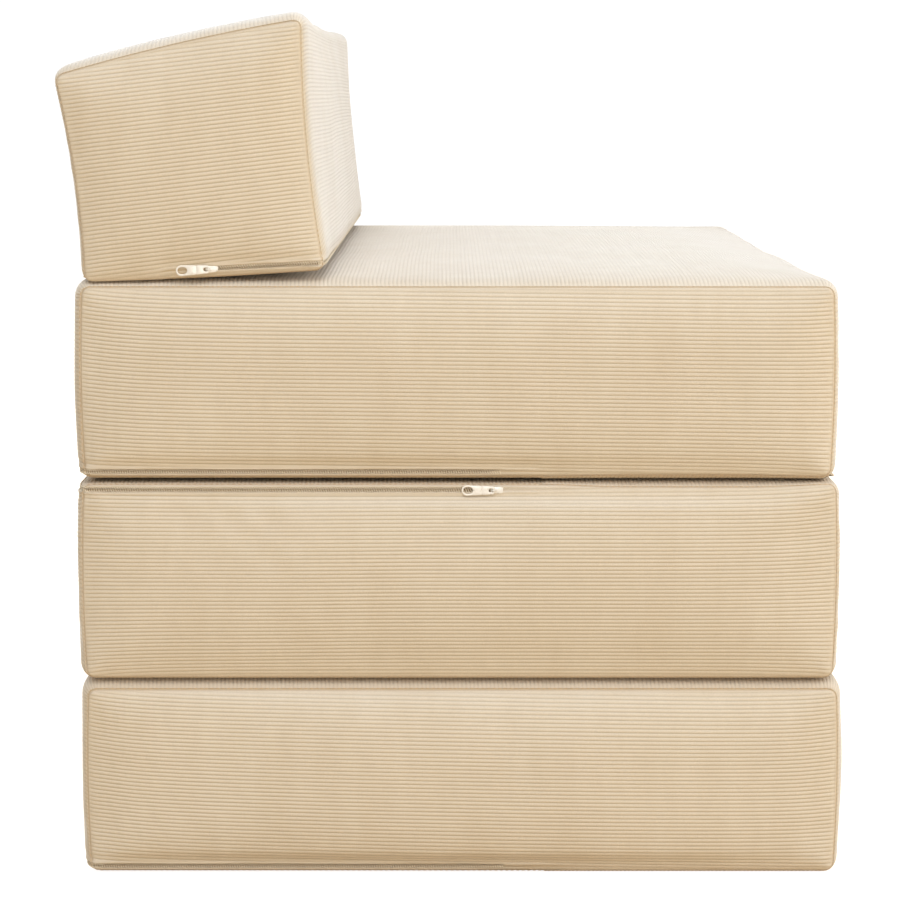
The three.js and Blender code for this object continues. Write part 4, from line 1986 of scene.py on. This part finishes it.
def loose_fibre() -> bpy.types.NodeTree:
    """Fine fibres: a small noise that shades a little and bumps the normal.

    Returns:
        The group.
    """
    group, graph, source, sink = new_group(
        "loose_fibre", {"Scale": 900.0, "Relief": 0.25, "Distance": 0.0003},
        {"Fibre": "NodeSocketFloat", "Normal": "NodeSocketVector"},
    )
    fine = graph.noise(source["Vector"], source["Scale"], 3.0, 0.65)
    graph.put(sink["Fibre"], fine)
    graph.put(sink["Normal"], graph.bump(Height=fine, Strength=source["Relief"], Distance=source["Distance"]))
    return group


@dataclass(frozen=True)
class Finish:
    """What every finish has: a name and the two shared effects."""

    name: str

    def start(self) -> tuple[Material, Graph, bpy.types.Node]:
        """A new material.

        Returns:
            The material, its graph and its Principled BSDF.
        """
        material = bpy.data.materials.new(self.name)
        material.use_nodes = True
        graph = Graph(material.node_tree)
        return material, graph, material.node_tree.nodes["Principled BSDF"]

    @staticmethod
    def effect(graph: Graph, name: str, **values: object) -> bpy.types.Node:
        """A shared group placed in the material on Object coordinates.

        Args:
            graph: the material's graph.
            name: the group's name.
            values: the group's own values here.

        Returns:
            The group's node.
        """
        node = graph.node("ShaderNodeGroup", node_tree=bpy.data.node_groups[name])
        graph.fill(node, Vector=graph.place(), **values)
        return node


@dataclass(frozen=True)
class Corduroy(Finish):
    """Cotton corduroy: pale raised pile, a darker ground between the wales that is partly painted shade in the
    grooves, cloudy nap, a soft sheen, painted sheen at grazing views, painted top light and painted shade in the
    creases.
    """

    pile: Colour = (0.70, 0.59, 0.43, 1.0)
    # The ground colour darkens the cloth between the wales: partly the ground weave's own tone, partly painted
    # shade in the grooves.
    ground: Colour = (0.475, 0.37, 0.235, 1.0)
    # The seam colour is painted shade for the creases, the gaps between cushions and the zip's slit.
    seam: Colour = (0.44, 0.27, 0.10, 1.0)
    # The pale tip colour: mixed in at grazing views as painted sheen, partly the pile seen edge-on, and on upward
    # faces as painted top light.
    painted_light_tips: Colour = (0.88, 0.865, 0.84, 1.0)
    nap_low: Colour = (0.925, 0.90, 0.865, 1.0)
    nap_high: Colour = (1.03, 1.035, 1.045, 1.0)
    sheen: float = 0.6
    # Share of painted top light: faces whose normal points up are mixed towards the pale tip colour.
    painted_top_light: float = 0.36

    def make(self) -> Material:
        """Builds the material from the wale, seam and bare attributes.

        Grazing views are mixed towards the pale tip colour: partly the pile seen edge-on, partly painted sheen.
        Cloth that faces up is mixed towards it too, as painted top light.

        Returns:
            The material.
        """
        material, graph, shader = self.start()
        wale = graph.math("POWER", graph.attribute("wale"), 0.8)
        # Painted sheen: grazing views are mixed towards the pale tip colour where the sheen mask allows.
        slant = graph.node("ShaderNodeLayerWeight")
        graph.fill(slant, Blend=0.5)
        sheen_mask = graph.attribute("sheen_mask")
        grazing_painted_sheen = graph.math("MULTIPLY", graph.span(slant.outputs["Facing"], 0.6, 0.94, 0.0, 0.85), sheen_mask)
        facing = graph.node("ShaderNodeSeparateXYZ")
        graph.put(facing.inputs[0], graph.node("ShaderNodeNewGeometry").outputs["Normal"])
        # Painted top light: the world normal's Z mixes the pale tip colour in.
        painted_top_light = graph.span(facing.outputs["Z"], -0.25, 0.75, 0.0, self.painted_top_light)
        base = graph.mix(painted_top_light, graph.mix(wale, self.ground, self.pile), self.painted_light_tips)
        base = graph.mix(grazing_painted_sheen, base, self.painted_light_tips)
        clouds = self.effect(graph, "nap_clouds", Patch=15.0, Streak=60.0, Strength=0.6)
        nap = graph.mix(graph.span(clouds.outputs["Shade"], 0.3, 1.7, 0.0, 1.0), self.nap_low, self.nap_high)
        fibre = self.effect(graph, "loose_fibre", Scale=1100.0, Relief=0.35)
        speck = graph.span(fibre.outputs["Fibre"], 0.3, 0.7, 0.94, 1.05)
        tinted = graph.mix(1.0, graph.mix(1.0, base, nap, "MULTIPLY"), graph.grey(speck), "MULTIPLY")
        # Painted shade: the seam attribute mixes the seam colour in.
        crease = graph.math("MULTIPLY", graph.attribute("seam"), 0.6, clamp=True)
        graph.fill(
            shader, Base_Color=graph.mix(crease, tinted, self.seam), Normal=fibre.outputs["Normal"],
            Roughness=graph.span(wale, 0.0, 1.0, 0.98, 0.86), Specular_IOR_Level=0.2,
            Sheen_Weight=graph.math("MULTIPLY", sheen_mask, self.sheen), Sheen_Roughness=0.3,
            Sheen_Tint=(1.0, 0.95, 0.87, 1.0),
        )
        return material


@dataclass(frozen=True)
class PlainCloth(Finish):
    """Woven cloth: threads over and under as a checked wave, with nap and fibres."""

    colour: Colour = (0.78, 0.66, 0.48, 1.0)
    threads: float = 1600.0
    relief: float = 0.4
    roughness: float = 0.9
    sheen: float = 0.15

    def make(self) -> Material:
        """Builds the material: the weave is sin(k y) sin(k (x + z)) on Object coordinates.

        Returns:
            The material.
        """
        material, graph, shader = self.start()
        place = graph.node("ShaderNodeSeparateXYZ")
        graph.put(place.inputs[0], graph.place())
        over = graph.math("SINE", graph.math("MULTIPLY", place.outputs["Y"], self.threads * 2))
        under = graph.math("ADD", place.outputs["X"], place.outputs["Z"])
        under = graph.math("SINE", graph.math("MULTIPLY", under, self.threads * 2))
        weave = graph.math("MULTIPLY", over, under)
        clouds = self.effect(graph, "nap_clouds", Strength=0.05)
        fibre = self.effect(graph, "loose_fibre", Scale=1500.0, Relief=0.2)
        shade = graph.math("MULTIPLY", clouds.outputs["Shade"], graph.span(weave, -1.0, 1.0, 0.9, 1.06))
        graph.fill(
            shader, Base_Color=graph.mix(1.0, self.colour, graph.grey(shade), "MULTIPLY"),
            Normal=graph.bump(Height=weave, Normal=fibre.outputs["Normal"], Strength=self.relief, Distance=0.0002),
            Roughness=graph.span(weave, -1.0, 1.0, self.roughness, self.roughness - 0.08),
            Sheen_Weight=self.sheen, Specular_IOR_Level=0.25,
        )
        return material


@dataclass(frozen=True)
class CreamMetal(Finish):
    """Die-cast zinc with a thin cream paint, worn a little where fingers rub."""

    colour: Colour = (0.86, 0.81, 0.72, 1.0)
    worn: Colour = (0.68, 0.63, 0.55, 1.0)

    def make(self) -> Material:
        """Builds the material.

        Returns:
            The material.
        """
        material, graph, shader = self.start()
        fibre = self.effect(graph, "loose_fibre", Scale=420.0, Relief=0.06)
        rub = graph.span(graph.noise(graph.place(), 260.0, 3.0, 0.6), 0.52, 0.72, 0.0, 0.7)
        graph.fill(
            shader, Base_Color=graph.mix(rub, self.colour, self.worn), Normal=fibre.outputs["Normal"],
            Roughness=graph.span(rub, 0.0, 0.7, 0.34, 0.24), Metallic=graph.span(rub, 0.0, 0.7, 0.15, 0.75),
            Coat_Weight=0.25, Coat_Roughness=0.2,
        )
        return material


@dataclass(frozen=True)
class Nylon(Finish):
    """Drawn nylon or spun thread: a slightly glossy, slightly uneven strand."""

    colour: Colour = (0.80, 0.70, 0.53, 1.0)
    roughness: float = 0.42
    unevenness: float = 0.08
    gloss: float = 0.25

    def make(self) -> Material:
        """Builds the strand's material.

        Returns:
            The material.
        """
        material, graph, shader = self.start()
        fibre = self.effect(graph, "loose_fibre", Scale=1800.0, Relief=0.15)
        low, high = 1 - self.unevenness, 1 + self.unevenness
        shade = graph.span(fibre.outputs["Fibre"], 0.3, 0.7, low, high)
        graph.fill(
            shader, Base_Color=graph.mix(1.0, self.colour, graph.grey(shade), "MULTIPLY"),
            Roughness=graph.span(shade, low, high, self.roughness + 0.08, self.roughness),
            Normal=fibre.outputs["Normal"], Specular_IOR_Level=self.gloss,
        )
        return material


@dataclass(frozen=True)
class OpenFoam(Finish):
    """Cut polyurethane foam: round open cells whose hollows are darkened as painted shade."""

    colour: Colour = (0.88, 0.84, 0.72, 1.0)
    hollow_shade: Colour = (0.62, 0.56, 0.42, 1.0)
    cells: float = 520.0

    def make(self) -> Material:
        """Builds the foam on Object coordinates.

        Returns:
            The material.
        """
        material, graph, shader = self.start()
        depth = graph.fill(graph.node("ShaderNodeTexVoronoi"), Vector=graph.place(), Scale=self.cells)
        clouds = self.effect(graph, "nap_clouds", Strength=0.03)
        # Painted shade in the cells' hollows, where the bump is lowest.
        base = graph.mix(graph.span(depth, 0.1, 0.6, 1.0, 0.0), self.colour, self.hollow_shade)
        graph.fill(
            shader, Base_Color=graph.mix(1.0, base, graph.grey(clouds.outputs["Shade"]), "MULTIPLY"),
            Normal=graph.bump(Height=depth, Strength=0.6, Distance=0.0006), Roughness=1.0,
        )
        return material


# Studio


@dataclass
class Studio:
    """A pale floor, a white room, soft lights and the camera of the photograph."""

    floor_half: float = 9.0
    camera_at: Triple = (-0.00475, -2.2966, 0.62473)
    camera_down: float = 7.130
    lens: float = 97.85
    shift_y: float = -0.06
    room: float = 0.36
    backdrop: float = 1.08
    floor_paint: Colour = (0.72, 0.60, 0.45, 1.0)
    floor_glow: float = 0.9
    light_aim: Triple = (0.0, 0.0, 0.35)
    lights: tuple[tuple[str, Triple, float, float], ...] = (
        ("front_softbox", (0.25, -3.7, 3.6), 3.0, 112.0),
        ("low_softbox", (0.1, -4.2, 0.55), 1.6, 25.0),
        ("back_softbox", (-2.2, 3.2, 2.4), 3.0, 75.0),
        ("side_softbox", (2.6, -0.6, 1.5), 2.0, 38.0),
        ("overhead_softbox", (0.2, 0.1, 2.9), 1.8, 12.0),
    )

    def floor(self) -> None:
        """A flat floor with a faint unevenness of its paint."""
        half = self.floor_half / MM
        corners = np.array([[-half, -half, 0], [half, -half, 0], [half, half, 0], [-half, half, 0]])
        piece = linked("studio_floor", Surface(corners, np.array([[0, 1, 2, 3]])).mesh("studio_floor"))
        finish = Finish("studio_floor_paint")
        material, graph, shader = finish.start()
        clouds = finish.effect(graph, "nap_clouds", Strength=0.01, Patch=1.5, Streak=6.0)
        paint = graph.mix(1.0, self.floor_paint, graph.grey(clouds.outputs["Shade"]), "MULTIPLY")
        seen = graph.node("ShaderNodeLightPath").outputs["Is Camera Ray"]
        graph.fill(
            shader, Base_Color=paint, Roughness=0.9, Specular_IOR_Level=0.1, Emission_Color=(1.0, 1.0, 1.0, 1.0),
            Emission_Strength=graph.math("MULTIPLY", seen, self.floor_glow),
        )
        piece.data.materials.append(material)

    def light(self, name: str, at: Triple, size: float, watts: float) -> None:
        """A square soft light that faces the middle of the object.

        Args:
            name: its name.
            at: where it stands, in metres.
            size: its width.
            watts: its power.
        """
        lamp = bpy.data.lights.new(name, "AREA")
        lamp.energy = watts
        lamp.size = size
        piece = linked(name, lamp)
        piece.location = at
        aim = Vector(self.light_aim) - Vector(at)
        piece.rotation_euler = aim.to_track_quat("-Z", "Y").to_euler()

    def build(self) -> None:
        """Sets the floor, the room's light, the lamps and the camera."""
        self.floor()
        world = bpy.data.worlds.new("white_room")
        world.use_nodes = True
        graph = Graph(world.node_tree)
        sky = world.node_tree.nodes["Background"].inputs
        sky["Color"].default_value = (1.0, 1.0, 1.0, 1.0)
        seen = graph.node("ShaderNodeLightPath").outputs["Is Camera Ray"]
        graph.put(sky["Strength"], graph.span(seen, 0.0, 1.0, self.room, self.backdrop))
        bpy.context.scene.world = world
        for setting in self.lights:
            self.light(*setting)
        camera = bpy.data.cameras.new("photo_camera")
        camera.lens = self.lens
        camera.shift_y = self.shift_y
        piece = linked("photo_camera", camera)
        piece.location = self.camera_at
        piece.rotation_euler = (radians(90 - self.camera_down), 0.0, 0.0)
        bpy.context.scene.camera = piece
        bpy.context.scene.view_settings.view_transform = "Standard"


# The sofa bed


def slab_outline(top: float, bottom: float, back: float, front: float) -> Outline:
    """A slab's outline.

    Args:
        top: what its top edge is drawn in by at the seams.
        bottom: the same for its bottom edge.
        back: X of its back end's corners.
        front: X of its front end's corners.

    Returns:
        The outline.
    """
    high = SLAB_THICKNESS - top
    return Outline(
        corners=((back, bottom), (front, bottom), (front, high), (back, high)),
        sides=(Side(bottom, 0.0), Side(5.5, 2.0), Side(top, 0.0), Side(7.0, 2.0)),
    )


def cushions() -> list[Cushion]:
    """The sizes and places of the cushions.

    Returns:
        The four cushions, from the floor up.
    """
    base = slab_outline(7.0, 2.0, -296.0, 300.0)
    middle = slab_outline(0.8, 1.3, -296.0, 297.5)
    seat = slab_outline(5.0, 3.5, -292.5, 295.0)
    bolster = Outline(
        corners=((4.0, 0.0), (192.0, 0.0), (185.0, 195.0), (-8.5, 161.0)),
        sides=(Side(-2.0, 1.0), Side(4.0, -4.5), Side(7.0, 3.0), Side(3.5, -4.5)),
    )
    lean = Placement(-294.0, SEAT_TOP - 2.6, radians(2.86))
    return [
        Cushion(Body.BASE, base, Placement(3.0, 0.0), ZipLine(2.0 + ZIP_INSET, ZIP_END, -1, 1),
                Lie(0.0178, (3.0, 6.2), (0.2, -5.1)), (0, 2), 3, folds=(FOLD_BACK, None)),
        Cushion(Body.MIDDLE, middle, Placement(2.0, SLAB_PITCH), ZipLine(158.2 - ZIP_INSET, ZIP_END, -1, -1),
                Lie(0.0006, (-6.5, 1.9), (3.7, -6.3)), (0, 2), 5, hem=Hem(2, 60.0, 296.0, -2.4),
                folds=(FOLD_BACK, FOLD_FRONT)),
        Cushion(Body.SEAT, seat, Placement(0.0, 2 * SLAB_PITCH), ZipLine(2.5 + 5.6, ZIP_END, -1, 1),
                Lie(0.0125, (1.7, 5.7), (3.6, -2.5)), (0,), 8, hem=Hem(0, 60.0, 290.0, 1.4),
                folds=(None, FOLD_FRONT), covered=-112.0, seam_sheen_fade=0.75, crown=3.5),
        Cushion(Body.BACKREST, bolster, lean, ZipLine(6.2, 99.5, 1, -1), Lie(-0.069), (0,), 13,
                rests_at=SEAT_TOP + 0.3),
    ]


def hinges() -> list[HingeStrip]:
    """The cloth hinges at their fold lines.

    Returns:
        The three strips.
    """
    low, high = SLAB_PITCH - 0.2, 2 * SLAB_PITCH - 0.2
    return [
        HingeStrip("base_to_middle_hinge", Body.BASE, Body.MIDDLE,
                   ("base_back_hinge_leaf", "middle_back_hinge_leaf"), -302.4, low, 1, 15.0),
        HingeStrip("middle_to_seat_hinge", Body.MIDDLE, Body.SEAT,
                   ("middle_front_hinge_leaf", "seat_front_hinge_leaf"), 306.4, high, -1, 15.0),
        HingeStrip("seat_to_backrest_hinge", Body.SEAT, Body.BACKREST,
                   ("seat_back_hinge_leaf", "backrest_hinge_leaf"), -299.0, 478.0, 1, 13.0),
    ]


def main() -> None:
    """Builds the studio, the finishes and every piece."""
    nap_clouds()
    loose_fibre()
    Studio().build()
    corduroy = Corduroy("beige_corduroy").make()
    strip = PlainCloth("hinge_cloth").make()
    # The tape's dark colour is painted shade between the coil's loops.
    tape = PlainCloth("zip_tape_painted_shade", colour=(0.30, 0.19, 0.09, 1.0), threads=2600.0, sheen=0.0).make()
    coil = Nylon("zip_coil_nylon", colour=(0.86, 0.76, 0.59, 1.0)).make()
    thread = Nylon("seam_thread", colour=(0.60, 0.42, 0.24, 1.0), roughness=0.7).make()
    metal = CreamMetal("cream_painted_metal").make()
    foam = OpenFoam("cut_foam").make()
    for cushion in cushions():
        wrap = cushion.build(corduroy)
        Zip(cushion).build(wrap, tape, coil)
        SeamThread(cushion).build(wrap, thread)
        slider = Slider(cushion)
        slider.build(metal)
        Puller(cushion, slider).build(metal)
        Foam(cushion).build(foam)
    for hinge in hinges():
        hinge.build(strip)


if __name__ == "__main__":
    main()
